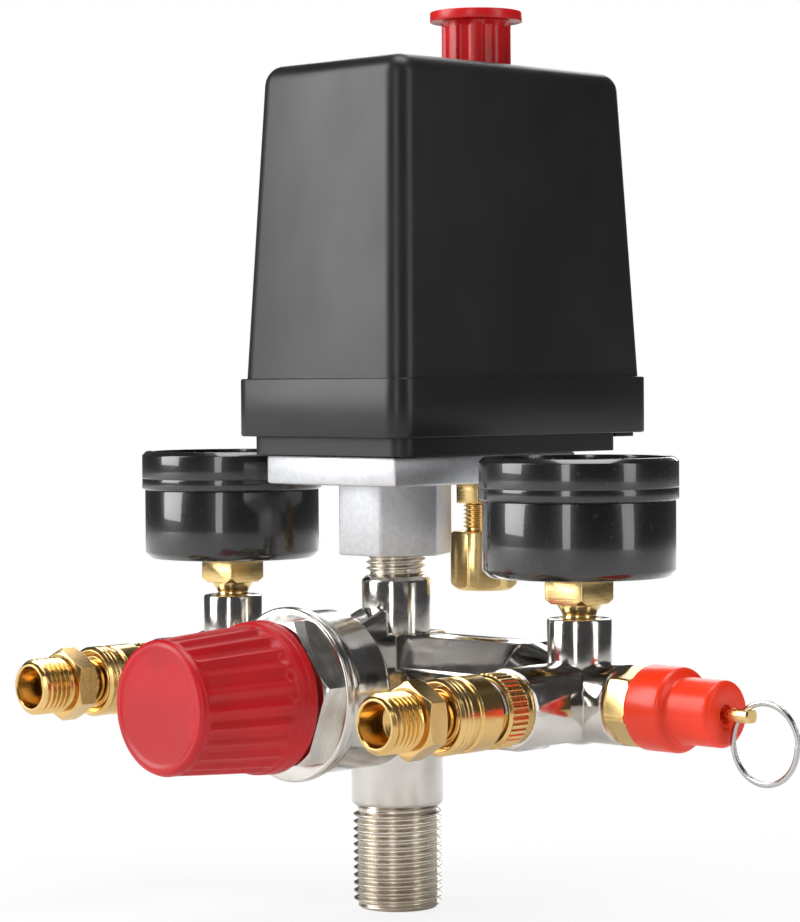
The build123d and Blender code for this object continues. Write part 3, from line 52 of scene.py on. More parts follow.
# ---- hood of the switch ----------------------------------------------------------
# Drafted hood with a collar round its foot, injection moulded in black ABS with a fine
# satin grain. One screw through its top holds it to the frame inside.
HOOD_FOOT = (54.2, 85.3)
HOOD_TOP = (47.35, 77.5)
HOOD_CORNER = 5.0
HOOD_TOP_EDGE = 4.5
COLLAR = (56.2, 87.35)
COLLAR_HEIGHT = 13.6
HOOD_WALL = 2.2
PAD_RADIUS = 9.0
PAD_UP = 13.0            # grommet centres above the collar
PAD_X = 13.0
PAD_PROUD = 0.3
GROMMET_SEAT = 6.05
KNOB_HOLE = 8.9
SCREW_HOLE = 2.5
SCREW_WELL = (4.8, 2.7)  # radius and depth of the well that hides the screw's head
KNOB_Y = 28.7
SCREW_Y = -9.0
MM = 0.001
SIDES = (("left", -1), ("right", 1))
AXIS_TURN = {"X": (90, "Y"), "Y": (-90, "X"), "Z": (0, "Z")}


class Value:
    """A number or a colour in a material. Sums on it add the Math nodes that work it out."""

    def __init__(self, finish, socket):
        self.finish = finish
        self.socket = socket

    def sum(self, operation, *values):
        return self.finish.node("Math", {"operation": operation}, dict(enumerate(values)))

    def __add__(self, other):
        return self.sum("ADD", self, other)

    def __sub__(self, other):
        return self.sum("SUBTRACT", self, other)

    def __rsub__(self, other):
        return self.sum("SUBTRACT", other, self)

    def __mul__(self, other):
        return self.sum("MULTIPLY", self, other)

    def __truediv__(self, other):
        return self.sum("DIVIDE", self, other)

    def __pow__(self, other):
        return self.sum("POWER", self, other)

    def __lt__(self, other):
        return self.sum("LESS_THAN", self, other)

    __radd__ = __add__
    __rmul__ = __mul__


class Finish:
    """A material made of one Principled shader, with constants on its own sockets."""

    def __init__(self, name, **constants):
        self.material = bpy.data.materials.new(name)
        self.material.use_nodes = True
        self.tree = self.material.node_tree
        self.shader = self.tree.nodes["Principled BSDF"]
        for socket, value in constants.items():
            self.shader.inputs[socket.replace("_", " ")].default_value = value

    def node(self, kind, settings=None, values=None, out=0):
        """Adds a node: its settings first, then values or links for its sockets."""
        node = self.tree.nodes.new("ShaderNode" + kind)
        for name, value in (settings or {}).items():
            if name == "stops":
                self.stops(node.color_ramp, value)
            else:
                setattr(node, name, value)
        for socket, value in (values or {}).items():
            if isinstance(value, Value):
                self.tree.links.new(value.socket, node.inputs[socket])
            else:
                node.inputs[socket].default_value = value
        return Value(self, node.outputs[out])

    def stops(self, ramp, stops):
        """Sets a ramp's stops, each a place and a grey or a colour."""
        while len(ramp.elements) < len(stops):
            ramp.elements.new(0.5)
        for element, (place, colour) in zip(ramp.elements, stops):
            element.position = place
            element.color = (colour,) * 3 + (1.0,) if isinstance(colour, float) else colour

    def set(self, socket, value):
        self.tree.links.new(value.socket, self.shader.inputs[socket])

    def place(self, out="Object"):
        """Coordinates on the object, or another output of Texture Coordinate."""
        return self.node("TexCoord", out=out)

    def noise(self, scale, detail=3.0, stretch=(1, 1, 1), out=0):
        """Soft noise; scale counts its features per metre."""
        where = self.node("Mapping", values={"Vector": self.place(), "Scale": stretch})
        values = {"Vector": where, "Scale": scale, "Detail": detail}
        return self.node("TexNoise", values=values, out=out)

    def ramp(self, value, low, high):
        """0 below low, 1 above high, and a smooth rise between."""
        settings = {"interpolation_type": "SMOOTHSTEP", "clamp": True}
        return self.node("MapRange", settings, {"Value": value, "From Min": low, "From Max": high})

    def blend(self, share, low, high):
        """A colour between two colours."""
        return self.node("Mix", {"data_type": "RGBA"}, {"Factor": share, 6: low, 7: high}, out=2)

    def edge_highlight_and_wear(self, radius=0.0006):
        """1 on outer edges, fading to 0 on the flats beside them. Colours lightened with it get a painted
        highlight on their edges; roughness lowered with it shows their wear.
        """
        rounded = self.node("Bevel", {"samples": 4}, {"Radius": radius})
        flat = self.node("NewGeometry", out="Normal")
        settings = {"operation": "DOT_PRODUCT"}
        bend = self.node("VectorMath", settings, {0: rounded, 1: flat}, out="Value")
        return self.ramp(bend, 0.995, 0.93)

    def relief(self, height, depth, radius=0.0):
        """Bump of that height in metres; a radius also softens the edges' shading."""
        values = {"Height": height, "Distance": depth, "Strength": 1.0}
        if radius:
            values["Normal"] = self.node("Bevel", {"samples": 6}, {"Radius": radius})
        self.set("Normal", self.node("Bump", values=values))


def span(node):
    """Lowest and highest corners of a CAD node, in millimetres."""
    low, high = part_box(node)
    return low / MM, high / MM


def placed(bm, verts, axis="Z", centre=(0, 0, 0)):
    """Turns new points so that local Z lies on an axis, then moves them to a centre."""
    degrees, about = AXIS_TURN[axis]
    turn = Matrix.Translation(centre) @ Matrix.Rotation(radians(degrees), 4, about)
    bmesh.ops.transform(bm, matrix=turn, verts=verts)


def once(items):
    """Each item once, in the order that they came in."""
    return list(dict.fromkeys(items))


def turned(bm, steps, axis="Z", centre=(0, 0, 0), sides=96, soft=0.0, hollow=False):
    """Adds a turned shape. Steps are (place along the axis, radius); soft rounds its corners."""
    line = [bm.verts.new((radius, 0, place)) for place, radius in steps]
    pairs = list(zip(line, line[1:])) + ([(line[-1], line[0])] if hollow else [])
    edges = [bm.edges.new(pair) for pair in pairs]
    if soft:
        corners = [v for v in line if len(v.link_edges) == 2]
        cut = bmesh.ops.bevel(bm, geom=corners, offset=soft, segments=2, profile=0.5,
                              affect="VERTICES", material=-1, clamp_overlap=True)
        line = once(v for v in line + cut["verts"] if v.is_valid)
        edges = once(e for v in line for e in v.link_edges)
    bmesh.ops.spin(bm, geom=line + edges, cent=(0, 0, 0), axis=(0, 0, 1), dvec=(0, 0, 0),
                   angle=2 * pi, steps=sides, use_merge=True, use_duplicate=False)
    made = connected(line[0])
    bmesh.ops.remove_doubles(bm, verts=made, dist=0.0005)
    made = [v for v in made if v.is_valid]
    placed(bm, made, axis, centre)
    return made


def connected(vert):
    """All the points joined to one point by edges."""
    found, queue = {vert: True}, [vert]
    while queue:
        for edge in queue.pop().link_edges:
            for other in edge.verts:
                if other not in found:
                    found[other] = True
                    queue.append(other)
    return list(found)


def prism(bm, flats, sides, start, end, axis="Z", centre=(0, 0, 0), turn=0.0, soft=0.0):
    """Adds a bar with flat sides, sized across its flats; turn is in degrees."""
    radius = flats / 2 / cos(pi / sides)
    base = bmesh.ops.create_circle(bm, cap_ends=True, segments=sides, radius=radius)["verts"]
    bmesh.ops.rotate(bm, matrix=Matrix.Rotation(radians(turn), 3, "Z"), verts=base)
    bmesh.ops.translate(bm, vec=(0, 0, start), verts=base)
    faces = once(f for v in base for f in v.link_faces)
    raised = bmesh.ops.extrude_face_region(bm, geom=faces, use_keep_orig=True)["geom"]
    top = [g for g in raised if isinstance(g, bmesh.types.BMVert)]
    bmesh.ops.translate(bm, vec=(0, 0, end - start), verts=top)
    made = base + top
    if soft:
        made = softened(bm, made, soft)
    placed(bm, made, axis, centre)
    return made


def softened(bm, verts, width, segments=2):
    """Rounds the edges between some points, and gives all the points there are then."""
    inside = set(verts)
    edges = [e for v in verts for e in v.link_edges if e.other_vert(v) in inside]
    cut = bmesh.ops.bevel(bm, geom=once(edges), offset=width, segments=segments,
                          profile=0.5, affect="EDGES", material=-1, clamp_overlap=True)
    return once(v for v in verts + cut["verts"] if v.is_valid)


def block(bm, low, high, soft=0.0):
    """Adds a block between two corners."""
    made = bmesh.ops.create_cube(bm, size=1.0)["verts"]
    bmesh.ops.scale(bm, vec=Vector(high) - Vector(low), verts=made)
    bmesh.ops.translate(bm, vec=(Vector(high) + Vector(low)) / 2, verts=made)
    return softened(bm, made, soft) if soft else made


def solid(make, *args, **sizes):
    """A closed shape of its own, as a bmesh."""
    bm = bmesh.new()
    make(bm, *args, **sizes)
    bmesh.ops.recalc_face_normals(bm, faces=bm.faces)
    return bm


def sound(how, body, tool, result):
    """Whether the volume of a cut, joined or crossed shape is one that it can have."""
    if how == "UNION":
        return max(body, tool) * 0.999 < result < (body + tool) * 1.001
    if how == "INTERSECT":
        return 0 < result < min(body, tool) * 1.001
    return max(body - tool, 0) - body * 0.001 < result < body * 1.001


def combined(body, *tools, how="DIFFERENCE"):
    """Cuts closed shapes from a body, or joins or crosses them with it."""
    for tool in tools:
        sizes = [shape.calc_volume() for shape in (body, tool)]
        loose = []
        for shape in (body, tool):
            mesh = bpy.data.meshes.new("loose")
            shape.to_mesh(mesh)
            shape.free()
            loose.append(bpy.data.objects.new("loose", mesh))
            scene.collection.objects.link(loose[-1])
        change = loose[0].modifiers.new("change", "BOOLEAN")
        change.operation = how
        change.solver = "EXACT"
        change.object = loose[1]
        for thorough in (False, True):
            change.use_self = thorough
            body = bmesh.new()
            body.from_object(loose[0], bpy.context.evaluated_depsgraph_get())
            if sound(how, *sizes, body.calc_volume()):
                break
        for piece in loose:
            bpy.data.meshes.remove(piece.data)
    return body


def joined(*shapes):
    """Closed shapes that sit in one another, kept whole in one bmesh."""
    body = bmesh.new()
    for shape in shapes:
        mesh = bpy.data.meshes.new("loose")
        shape.to_mesh(mesh)
        shape.free()
        body.from_mesh(mesh)
        bpy.data.meshes.remove(mesh)
    return body


def finished(name, bm, finish, sharp=32.0):
    """Makes the piece's object from its bmesh, with edges past an angle kept sharp."""
    bmesh.ops.remove_doubles(bm, verts=bm.verts, dist=0.0002)
    bmesh.ops.dissolve_degenerate(bm, edges=bm.edges, dist=0.0002)
    bmesh.ops.recalc_face_normals(bm, faces=bm.faces)
    for face in bm.faces:
        face.smooth = True
    for edge in bm.edges:
        edge.smooth = len(edge.link_faces) == 2 and edge.calc_face_angle(0) < radians(sharp)
    bmesh.ops.scale(bm, vec=(MM,) * 3, verts=bm.verts)
    mesh = bpy.data.meshes.new(name)
    bm.to_mesh(mesh)
    bm.free()
    mesh.materials.append(finish.material)
    piece = bpy.data.objects.new(name, mesh)
    scene.collection.objects.link(piece)
    return piece


def moulded(name, colour, roughness, grain=0.00001, grain_size=2600.0, **constants):
    """Moulded plastic: fine grain, faint flow marks, a shine that varies a little, and a painted highlight
    on its edges.
    """
    finish = Finish(name, IOR=1.47, **constants)
    cloud = finish.noise(60.0, detail=4.0)
    smudge = finish.noise(22.0, detail=5.0, stretch=(1, 1, 0.6))
    edge = finish.edge_highlight_and_wear(0.0005)
    deep = tuple(c * 0.82 for c in colour[:3]) + (1.0,)
    pale = tuple(min(1.0, c * 1.25 + 0.01) for c in colour[:3]) + (1.0,)
    base = finish.blend(finish.ramp(cloud, 0.35, 0.65), deep, colour)
    # The colour turns paler on the edges: a painted highlight.
    finish.set("Base Color", finish.blend(edge * 0.5, base, pale))
    uneven = finish.ramp(smudge, 0.3, 0.7)
    finish.set("Roughness", uneven * (roughness * 0.35) + roughness * 0.82 - edge * 0.08)
    grains = finish.noise(grain_size, detail=2.0)
    finish.relief(grains + cloud * 0.6, grain, radius=0.0003)
    return finish


def drafted(bm, foot, top, corner, low, high, middle, segments=8):
    """Adds a rounded block that narrows upwards, and gives its points."""
    made = bmesh.ops.create_cube(bm, size=1.0)["verts"]
    for vert in made:
        width, depth = top if vert.co.z > 0 else foot
        vert.co = (vert.co.x * width, vert.co.y * depth + middle, high if vert.co.z > 0 else low)
    upright = [e for v in made for e in v.link_edges if abs(e.verts[0].co.z - e.verts[1].co.z) > 1]
    cut = bmesh.ops.bevel(bm, geom=once(upright), offset=corner, segments=segments,
                          profile=0.5, affect="EDGES", material=-1)
    return once(v for v in made + cut["verts"] if v.is_valid)


def hood_shape(bm, shrink, low, top_z):
    """The hood's outer shape, or its inner one when it is shrunk by the wall."""
    foot = [size - 2 * shrink for size in HOOD_FOOT]
    top = [size - 2 * shrink for size in HOOD_TOP]
    made = drafted(bm, foot, top, HOOD_CORNER - shrink, low, top_z - shrink, hood_y)
    rim = [e for v in made for e in v.link_edges if min(u.co.z for u in e.verts) > top_z - shrink - 0.01]
    bmesh.ops.bevel(bm, geom=once(rim), offset=HOOD_TOP_EDGE - shrink, segments=6,
                    profile=0.5, affect="EDGES", material=-1)


hood_low, hood_high = span("switch_cover")
hood_y = (hood_low.y + hood_high.y) / 2
collar_z = hood_low.z
seam_z = collar_z + COLLAR_HEIGHT
top_z = hood_high.z
pad_face = hood_y + HOOD_FOOT[1] / 2 + PAD_PROUD
LIP = 0.45               # step between the collar's face and the hood's foot


def collar_shape(bm, shrink, low, high):
    size = [s - 2 * shrink for s in COLLAR]
    made = drafted(bm, size, size, HOOD_CORNER - shrink, low, high, hood_y)
    if not shrink:
        rim = [e for v in made for e in v.link_edges if abs(e.verts[0].co.z - e.verts[1].co.z) < 0.01]
        bmesh.ops.bevel(bm, geom=once(rim), offset=LIP, segments=2, profile=0.5,
                        affect="EDGES", material=-1)


hood = combined(solid(hood_shape, 0.0, seam_z - 2.0, top_z),
                solid(collar_shape, 0.0, collar_z, seam_z), how="UNION")
pads = [solid(turned, [(pad_face - 5.0, 0), (pad_face - 5.0, PAD_RADIUS), (pad_face, PAD_RADIUS),
                       (pad_face, 0)], axis="Y", centre=(side * PAD_X, 0, seam_z + PAD_UP), soft=0.2)
        for _, side in SIDES]
hood = combined(hood, *pads, how="UNION")
hood = combined(
    hood,
    solid(hood_shape, HOOD_WALL, seam_z - 1.0, top_z),
    solid(collar_shape, HOOD_WALL, collar_z - 1.0, seam_z),
    *[solid(turned, [(pad_face - 12, 0), (pad_face - 12, GROMMET_SEAT), (pad_face + 1, GROMMET_SEAT),
                     (pad_face + 1, 0)], axis="Y", centre=(side * PAD_X, 0, seam_z + PAD_UP))
      for _, side in SIDES],
    solid(turned, [(top_z - 9, 0), (top_z - 9, KNOB_HOLE), (top_z + 1, KNOB_HOLE), (top_z + 1, 0)],
          centre=(0, KNOB_Y, 0)),
)
well, seat = SCREW_WELL[0], top_z - SCREW_WELL[1]
at = (0, SCREW_Y, 0)
boss = solid(turned, [(seat - HOOD_WALL, 0), (seat - HOOD_WALL, well + 1.6), (top_z - 1, well + 1.6),
                      (top_z - 1, 0)], centre=at)
hood = combined(combined(hood, boss, how="UNION"),
                solid(turned, [(seat - 9, 0), (seat - 9, SCREW_HOLE), (seat, SCREW_HOLE), (seat, well),
                               (top_z + 1, well), (top_z + 1, 0)], centre=at))
hood_black = moulded("hood_black", (0.0135, 0.0135, 0.0145, 1.0), 0.36)
switch_hood = finished("switch_hood", hood, hood_black)
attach(switch_hood, "root")
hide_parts("switch_cover")

# ---- on-off knob -----------------------------------------------------------------
# Red push-pull knob of moulded nylon with eight ribs round its stem. Its rod reaches down
# through the hood to the trip lever.
KNOB_STEM = 8.4
KNOB_FLANGE = 11.2
KNOB_ROD = 3.5
KNOB_TIP = 1.0           # the rod's end, on the trip lever
KNOB_TIP_LENGTH = 5.0
KNOB_STEM_FOOT = 8.0     # below the hood's top
KNOB_RIBS = 8
RIB_GROOVE = 0.8

low, high = span("on_off_knob")
flange_top = high.z - 0.5
flange_foot = flange_top - 2.4
stem_foot = top_z - KNOB_STEM_FOOT
knob = bmesh.new()
turned(knob, [
    (low.z, 0), (low.z, KNOB_TIP), (low.z + KNOB_TIP_LENGTH, KNOB_TIP),
    (low.z + KNOB_TIP_LENGTH, KNOB_ROD), (stem_foot, KNOB_ROD), (stem_foot, KNOB_STEM - 0.3),
    (stem_foot + 0.3, KNOB_STEM), (flange_foot - 1.4, KNOB_STEM), (flange_foot, KNOB_STEM + 0.05),
    (flange_foot, KNOB_FLANGE), (flange_top, KNOB_FLANGE), (flange_top, KNOB_FLANGE - 0.9),
    (flange_top - 0.35, KNOB_FLANGE - 1.5), (flange_top - 0.2, KNOB_FLANGE - 4), (high.z, 0),
], centre=(0, KNOB_Y, 0), sides=128, soft=0.25)
for vert in knob.verts:
    across = Vector((vert.co.x, vert.co.y - KNOB_Y, 0))
    if across.length > KNOB_ROD + 1 and vert.co.z < flange_foot - 0.7:
        share = (KNOB_RIBS * atan2(across.y, across.x) / (2 * pi)) % 1.0
        sink = RIB_GROOVE * max(0.0, 1 - (abs(share - 0.5) / 0.3) ** 4)
        vert.co -= across.normalized() * sink
button_red = moulded("button_red", (0.78, 0.012, 0.014, 1.0), 0.3)
on_off_knob = finished("on_off_button", knob, button_red)
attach(on_off_knob, "on_off_knob")
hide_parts("on_off_knob")

# ---- manifold --------------------------------------------------------------------
# One zinc casting, plated with nickel: inlet pipe, neck pipe, two eight-sided arms, two tees
# and the regulator's cup. The cup's rim and the ports are turned after casting.
PIPE = 10.9
NECK_PIPE = 8.1
NECK_PIPE_TOP = 78.7
INLET_TOP = 24.0
ARM_FLATS = 24.6
ARM_TAPER = 9.0
ARM_END = 5.0
TEE = 9.0
TEE_BALL = 9.9
GAUGE_PORT = 7.25
GAUGE_PORT_TOP = 71.5
FRONT_PORT = -24.0
CUP_RIM = 19.5
CUP = 18.8
CUP_BACK = -21.0
CUP_FOOT = -15.0
CUP_FACE = -32.6
EIGHTH_TURN = 22.5


def plated(name, colour, dark, roughness, waves, radius=0.0006):
    """Plated casting: slow waves from the casting under the plate, stains and fine pits."""
    finish = Finish(name, Metallic=1.0)
    wave = finish.noise(150.0, detail=2.0)
    stain = finish.noise(55.0, detail=5.0)
    pits = finish.node("TexVoronoi", {"feature": "F1"}, {"Vector": finish.place(), "Scale": 900.0})
    pit = 1 - finish.ramp(pits, 0.05, 0.16)
    base = finish.blend(finish.ramp(stain, 0.42, 0.75), colour, dark)
    finish.set("Base Color", finish.blend(pit * 0.25, base, (0.2, 0.18, 0.15, 1.0)))
    uneven = finish.ramp(finish.noise(260.0, detail=5.0), 0.3, 0.75)
    finish.set("Roughness", uneven * (roughness * 0.6) + roughness * 0.7)
    finish.relief(wave + finish.noise(1300.0, detail=2.0) * 0.05 - pit * 0.15, waves, radius=radius)
    return finish


def bored(body, bores):
    """Cuts drilled holes: (axis, radius, start, end, centre)."""
    for axis, radius, start, end, centre in bores:
        drill = [(start, 0), (start, radius), (end, radius), (end, 0)]
        body = combined(body, solid(turned, drill, axis=axis, centre=centre, sides=48))
    return body


low, high = span("regulator_knob")
axis_z = (low.z + high.z) / 2
low, high = span("gauge_case_right")
arm = (low.x + high.x) / 2
manifold_low, manifold_high = span("manifold_body")
valve_x = manifold_high.x
centre = (0, 0, axis_z)
reach = arm - ARM_END - ARM_TAPER
castings = [
    solid(prism, ARM_FLATS, 8, -reach, reach, axis="X", centre=centre, turn=EIGHTH_TURN, soft=0.5),
    solid(prism, ARM_FLATS - 0.1, 8, CUP_BACK - 1, ARM_FLATS / 2 - 1, axis="Y", centre=centre,
          turn=EIGHTH_TURN, soft=0.5),
    solid(turned, [(CUP_FACE + 6, 0), (CUP_FACE + 6, 14), (CUP_FACE, 14), (CUP_FACE, CUP_RIM),
                   (CUP_FACE + 2, CUP_RIM), (CUP_FACE + 2, CUP), (CUP_BACK, CUP),
                   (CUP_FOOT, ARM_FLATS / 2 + 1.2), (CUP_FOOT, 0)],
          axis="Y", centre=centre, sides=128, soft=0.35),
    combined(solid(turned, [(CUP_BACK - 1, 0), (CUP_BACK - 1, CUP - 0.1), (-PIPE, CUP - 0.1), (-PIPE, 0)],
                   axis="Y", centre=centre),
             solid(block, (-CUP, CUP_BACK - 2, axis_z - CUP), (CUP, 0, axis_z - CUP / 2)),
             how="INTERSECT"),
]
web = bmesh.new()
web_top = axis_z + ARM_FLATS / 2
corners = [(CUP_BACK, -1), (CUP_BACK + 3, 2), (-NECK_PIPE, 6), (0, -1)]
outline = web.faces.new([web.verts.new((-NECK_PIPE / 2, y, web_top + z)) for y, z in corners])
raised = bmesh.ops.extrude_face_region(web, geom=[outline], use_keep_orig=True)["geom"]
bmesh.ops.translate(web, vec=(NECK_PIPE, 0, 0),
                    verts=[g for g in raised if isinstance(g, bmesh.types.BMVert)])
softened(web, web.verts[:], 0.6)
bmesh.ops.recalc_face_normals(web, faces=web.faces)
castings.append(web)
for _, side in SIDES:
    x = side * arm
    out = x + side * (valve_x - arm if side > 0 else 10.5)
    taper = [(side * (arm - ARM_END), TEE), (side * reach, ARM_FLATS / 2)]
    taper = [(taper[0][0], 0)] + taper + [(taper[1][0], 0)]
    castings += [
        solid(turned, [(FRONT_PORT, 0), (FRONT_PORT, TEE), (0, TEE), (0, 0)], axis="Y",
              centre=(x, 0, axis_z), soft=0.5),
        solid(turned, [(x, 0), (x, TEE), (out, TEE), (out, 0)], axis="X", centre=centre, soft=0.5),
        solid(turned, [(axis_z, 0), (axis_z, GAUGE_PORT), (GAUGE_PORT_TOP, GAUGE_PORT),
                       (GAUGE_PORT_TOP, 0)], centre=(x, 0, 0), soft=0.55),
        solid(turned, taper, axis="X", centre=centre),
    ]
    ball = bmesh.new()
    bmesh.ops.create_uvsphere(ball, u_segments=64, v_segments=32, radius=TEE_BALL)
    bmesh.ops.translate(ball, vec=(x, 0, axis_z), verts=ball.verts)
    castings.append(ball)
casting = combined(
    solid(turned, [(INLET_TOP, 0), (INLET_TOP, PIPE - 1.1), (INLET_TOP + 1.1, PIPE), (axis_z, PIPE),
                   (axis_z, NECK_PIPE), (NECK_PIPE_TOP - 1, NECK_PIPE),
                   (NECK_PIPE_TOP, NECK_PIPE - 1), (NECK_PIPE_TOP, 0)], soft=0.2),
    *castings, how="UNION")
bores = [("Z", 4.5, INLET_TOP - 1, NECK_PIPE_TOP + 1, (0, 0, 0)),
         ("Y", 2.5, CUP_FACE + 5, 0, centre), ("X", 3.5, 0, valve_x + 1, centre),
         ("X", 6.58, valve_x - 10, valve_x + 2, centre)]
casting = bored(casting, bores)
for _, side in SIDES:
    front = [(FRONT_PORT - 1, 0), (FRONT_PORT - 1, 6.58), (FRONT_PORT + 10, 6.58), (FRONT_PORT + 10, 3.0),
             (2.2, 3.0), (2.2, 0)]
    upper = [(axis_z, 0), (axis_z, 1.75), (GAUGE_PORT_TOP - 9, 1.75), (GAUGE_PORT_TOP - 9, 4.86),
             (GAUGE_PORT_TOP + 1, 4.86), (GAUGE_PORT_TOP + 1, 0)]
    casting = combined(casting,
                       solid(turned, front, axis="Y", centre=(side * arm, 0, axis_z), sides=50),
                       solid(turned, upper, centre=(side * arm, 0, 0), sides=46))
nickel = plated("plated_nickel", (0.68, 0.655, 0.61, 1.0), (0.50, 0.465, 0.41, 1.0), 0.14, 0.00006)
manifold = finished("manifold_casting", casting, nickel, sharp=28.0)
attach(manifold, "root")
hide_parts("manifold_body")

# ---- threads of the manifold -----------------------------------------------------
# The half-inch inlet thread and the thread that screws into the hub, both cut on the
# casting's ends after plating, so they are a little duller and warmer.
INLET_R = 10.4775
INLET_PITCH = 1.814
NECK_R = 7.0
NECK_PITCH = 1.5
NECK_TOP = 91.8
WHITWORTH_DEPTH = 0.64   # of the pitch
FLANK = 0.333            # of the pitch, one flank seen along the axis
FLAT = 0.167             # of the pitch, crest or root


def threaded(bm, major, pitch, start, end, axis="Z", centre=(0, 0, 0), sides=60):
    """Adds a closed screw thread, pointed at both ends by a 45 degree chamfer."""
    root = major - WHITWORTH_DEPTH * pitch
    flat, flank = FLAT * pitch, FLANK * pitch
    line = [(0, root), (flat / 2, root), (flat / 2 + flank, major), (1.5 * flat + flank, major),
            (1.5 * flat + 2 * flank, root), (pitch, root)]
    turns = ceil((end - start) / pitch) + 2
    verts = [bm.verts.new((radius, 0, start - pitch + place)) for place, radius in line]
    edges = [bm.edges.new(pair) for pair in zip(verts, verts[1:])]
    bmesh.ops.spin(bm, geom=verts + edges, cent=(0, 0, 0), axis=(0, 0, 1), angle=2 * pi * turns,
                   dvec=(0, 0, pitch / sides), steps=turns * sides, use_merge=False)
    made = connected(verts[0])
    bmesh.ops.remove_doubles(bm, verts=made, dist=0.001)
    made = [v for v in made if v.is_valid]
    for place, outward in ((start, -1), (end, 1)):
        geom = made + once(e for v in made for e in v.link_edges)
        geom += once(f for v in made for f in v.link_faces)
        bmesh.ops.bisect_plane(bm, geom=geom, plane_co=(0, 0, place), plane_no=(0, 0, outward),
                               clear_outer=True, dist=0.0001)
        made = [v for v in bm.verts if v.is_valid]
    rims = [e for e in bm.edges if len(e.link_faces) == 1]
    bmesh.ops.holes_fill(bm, edges=rims, sides=0)
    for vert in bm.verts:
        inside = min(vert.co.z - start, end - vert.co.z)
        radius = hypot(vert.co.x, vert.co.y)
        limit = root - 0.25 + inside
        if radius > limit:
            vert.co.x *= limit / radius
            vert.co.y *= limit / radius
    placed(bm, bm.verts[:], axis, centre)


def cut_metal(name, colour, roughness, axis="Z"):
    """Turned metal: fine tool rings round its axis, slight tarnish, and a painted highlight on its edges."""
    finish = Finish(name, Metallic=1.0)
    parts = finish.node("SeparateXYZ", values={0: finish.place()}, out="XYZ".index(axis))
    rings = finish.node("TexNoise", {"noise_dimensions": "1D"},
                        {"W": parts, "Scale": 5200.0, "Detail": 2.0})
    tarnish = finish.ramp(finish.noise(90.0, detail=5.0), 0.4, 0.75)
    dull = tuple(c * k for c, k in zip(colour, (0.72, 0.66, 0.55))) + (1.0,)
    bright = tuple(min(1.0, c * 1.15 + 0.03) for c in colour[:3]) + (1.0,)
    base = finish.blend(tarnish * 0.55, colour, dull)
    # The brighter colour on the edges is a painted highlight.
    finish.set("Base Color", finish.blend(finish.edge_highlight_and_wear(0.0003) * 0.6, base, bright))
    finish.set("Roughness", finish.ramp(rings, 0.3, 0.7) * (roughness * 0.5) + tarnish * 0.06
               + roughness * 0.7)
    finish.relief(rings + finish.noise(400.0) * 0.8, 0.000012, radius=0.00018)
    return finish


thread_nickel = cut_metal("thread_nickel", (0.74, 0.69, 0.61, 1.0), 0.26)
inlet_low = manifold_low.z
bore = ("Z", 4.5, inlet_low - 1, NECK_TOP + 1, (0, 0, 0))
for name, major, pitch, low, high in (
        ("inlet_thread", INLET_R, INLET_PITCH, inlet_low, INLET_TOP),
        ("neck_thread", NECK_R, NECK_PITCH, NECK_PIPE_TOP, NECK_TOP)):
    screw = solid(threaded, major, pitch, low, high)
    thread = finished(name, bored(screw, [bore]), thread_nickel, sharp=24.0)
    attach(thread, "root")

# ---- hub under the switch --------------------------------------------------------
# Hexagon and square flange cast in aluminium, with the rough skin of the mould. The
# manifold's neck screws into it, and four screws from above clamp the switch to it.
HUB_FLATS = 24.0
HUB_FLANGE = 7.0
HUB_SCREWS = [(side * 16.0, y) for _, side in SIDES for y in (-15.8, 35.6)]


def cast_metal(name, colour, dark, roughness, rough_skin):
    """Raw casting: grainy skin, darker in its hollows, and a painted highlight on its edges."""
    finish = Finish(name, Metallic=1.0)
    skin = finish.noise(900.0, detail=6.0)
    lumps = finish.noise(120.0, detail=3.0)
    base = finish.blend(finish.ramp(skin, 0.2, 0.8), dark, colour)
    # The near-white colour on the edges is a painted highlight.
    finish.set("Base Color", finish.blend(finish.edge_highlight_and_wear(0.0006) * 0.7, base, (0.9, 0.9, 0.9, 1.0)))
    finish.set("Roughness", finish.ramp(lumps, 0.3, 0.7) * 0.12 + roughness - finish.edge_highlight_and_wear(0.0006) * 0.15)
    finish.relief(skin + lumps * 1.5, rough_skin, radius=0.0005)
    return finish


low, high = span("switch_hub")
hub_foot = low.z
flange_foot = high.z - HUB_FLANGE
hub = combined(solid(prism, HUB_FLATS, 6, hub_foot, flange_foot + 1, turn=30, soft=0.5),
               solid(block, (low.x, low.y, flange_foot), (high.x, high.y, high.z), soft=0.8),
               how="UNION")
hub_bores = [("Z", 3.95, flange_foot - 1, high.z + 1, (0, 30.3, 0)),
             ("Z", 7.05, hub_foot - 1, hub_foot + 8.1, (0, 0, 0)),
             ("Z", 3.0, hub_foot, high.z, (0, 0, 0)), ("Z", 15.0, high.z - 4, high.z + 1, (0, 0, 0))]
hub_bores += [("Z", 2.05, flange_foot - 1, high.z + 1, (x, y, 0)) for x, y in HUB_SCREWS]
aluminium = cast_metal("cast_aluminium", (0.70, 0.71, 0.73, 1.0), (0.6, 0.61, 0.63, 1.0), 0.4, 0.000012)
switch_hub = finished("hub_casting", bored(hub, hub_bores), aluminium)
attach(switch_hub, "root")
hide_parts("switch_hub")

# ---- unloader valve --------------------------------------------------------------
# Brass body screwed into the hub's flange, and a brass nut on its thread that holds the
# unloader's tube. The nut is left with its clear lacquer.
UNLOADER_Y = 30.3
UNLOADER_THREAD = (4.9, 1.0)

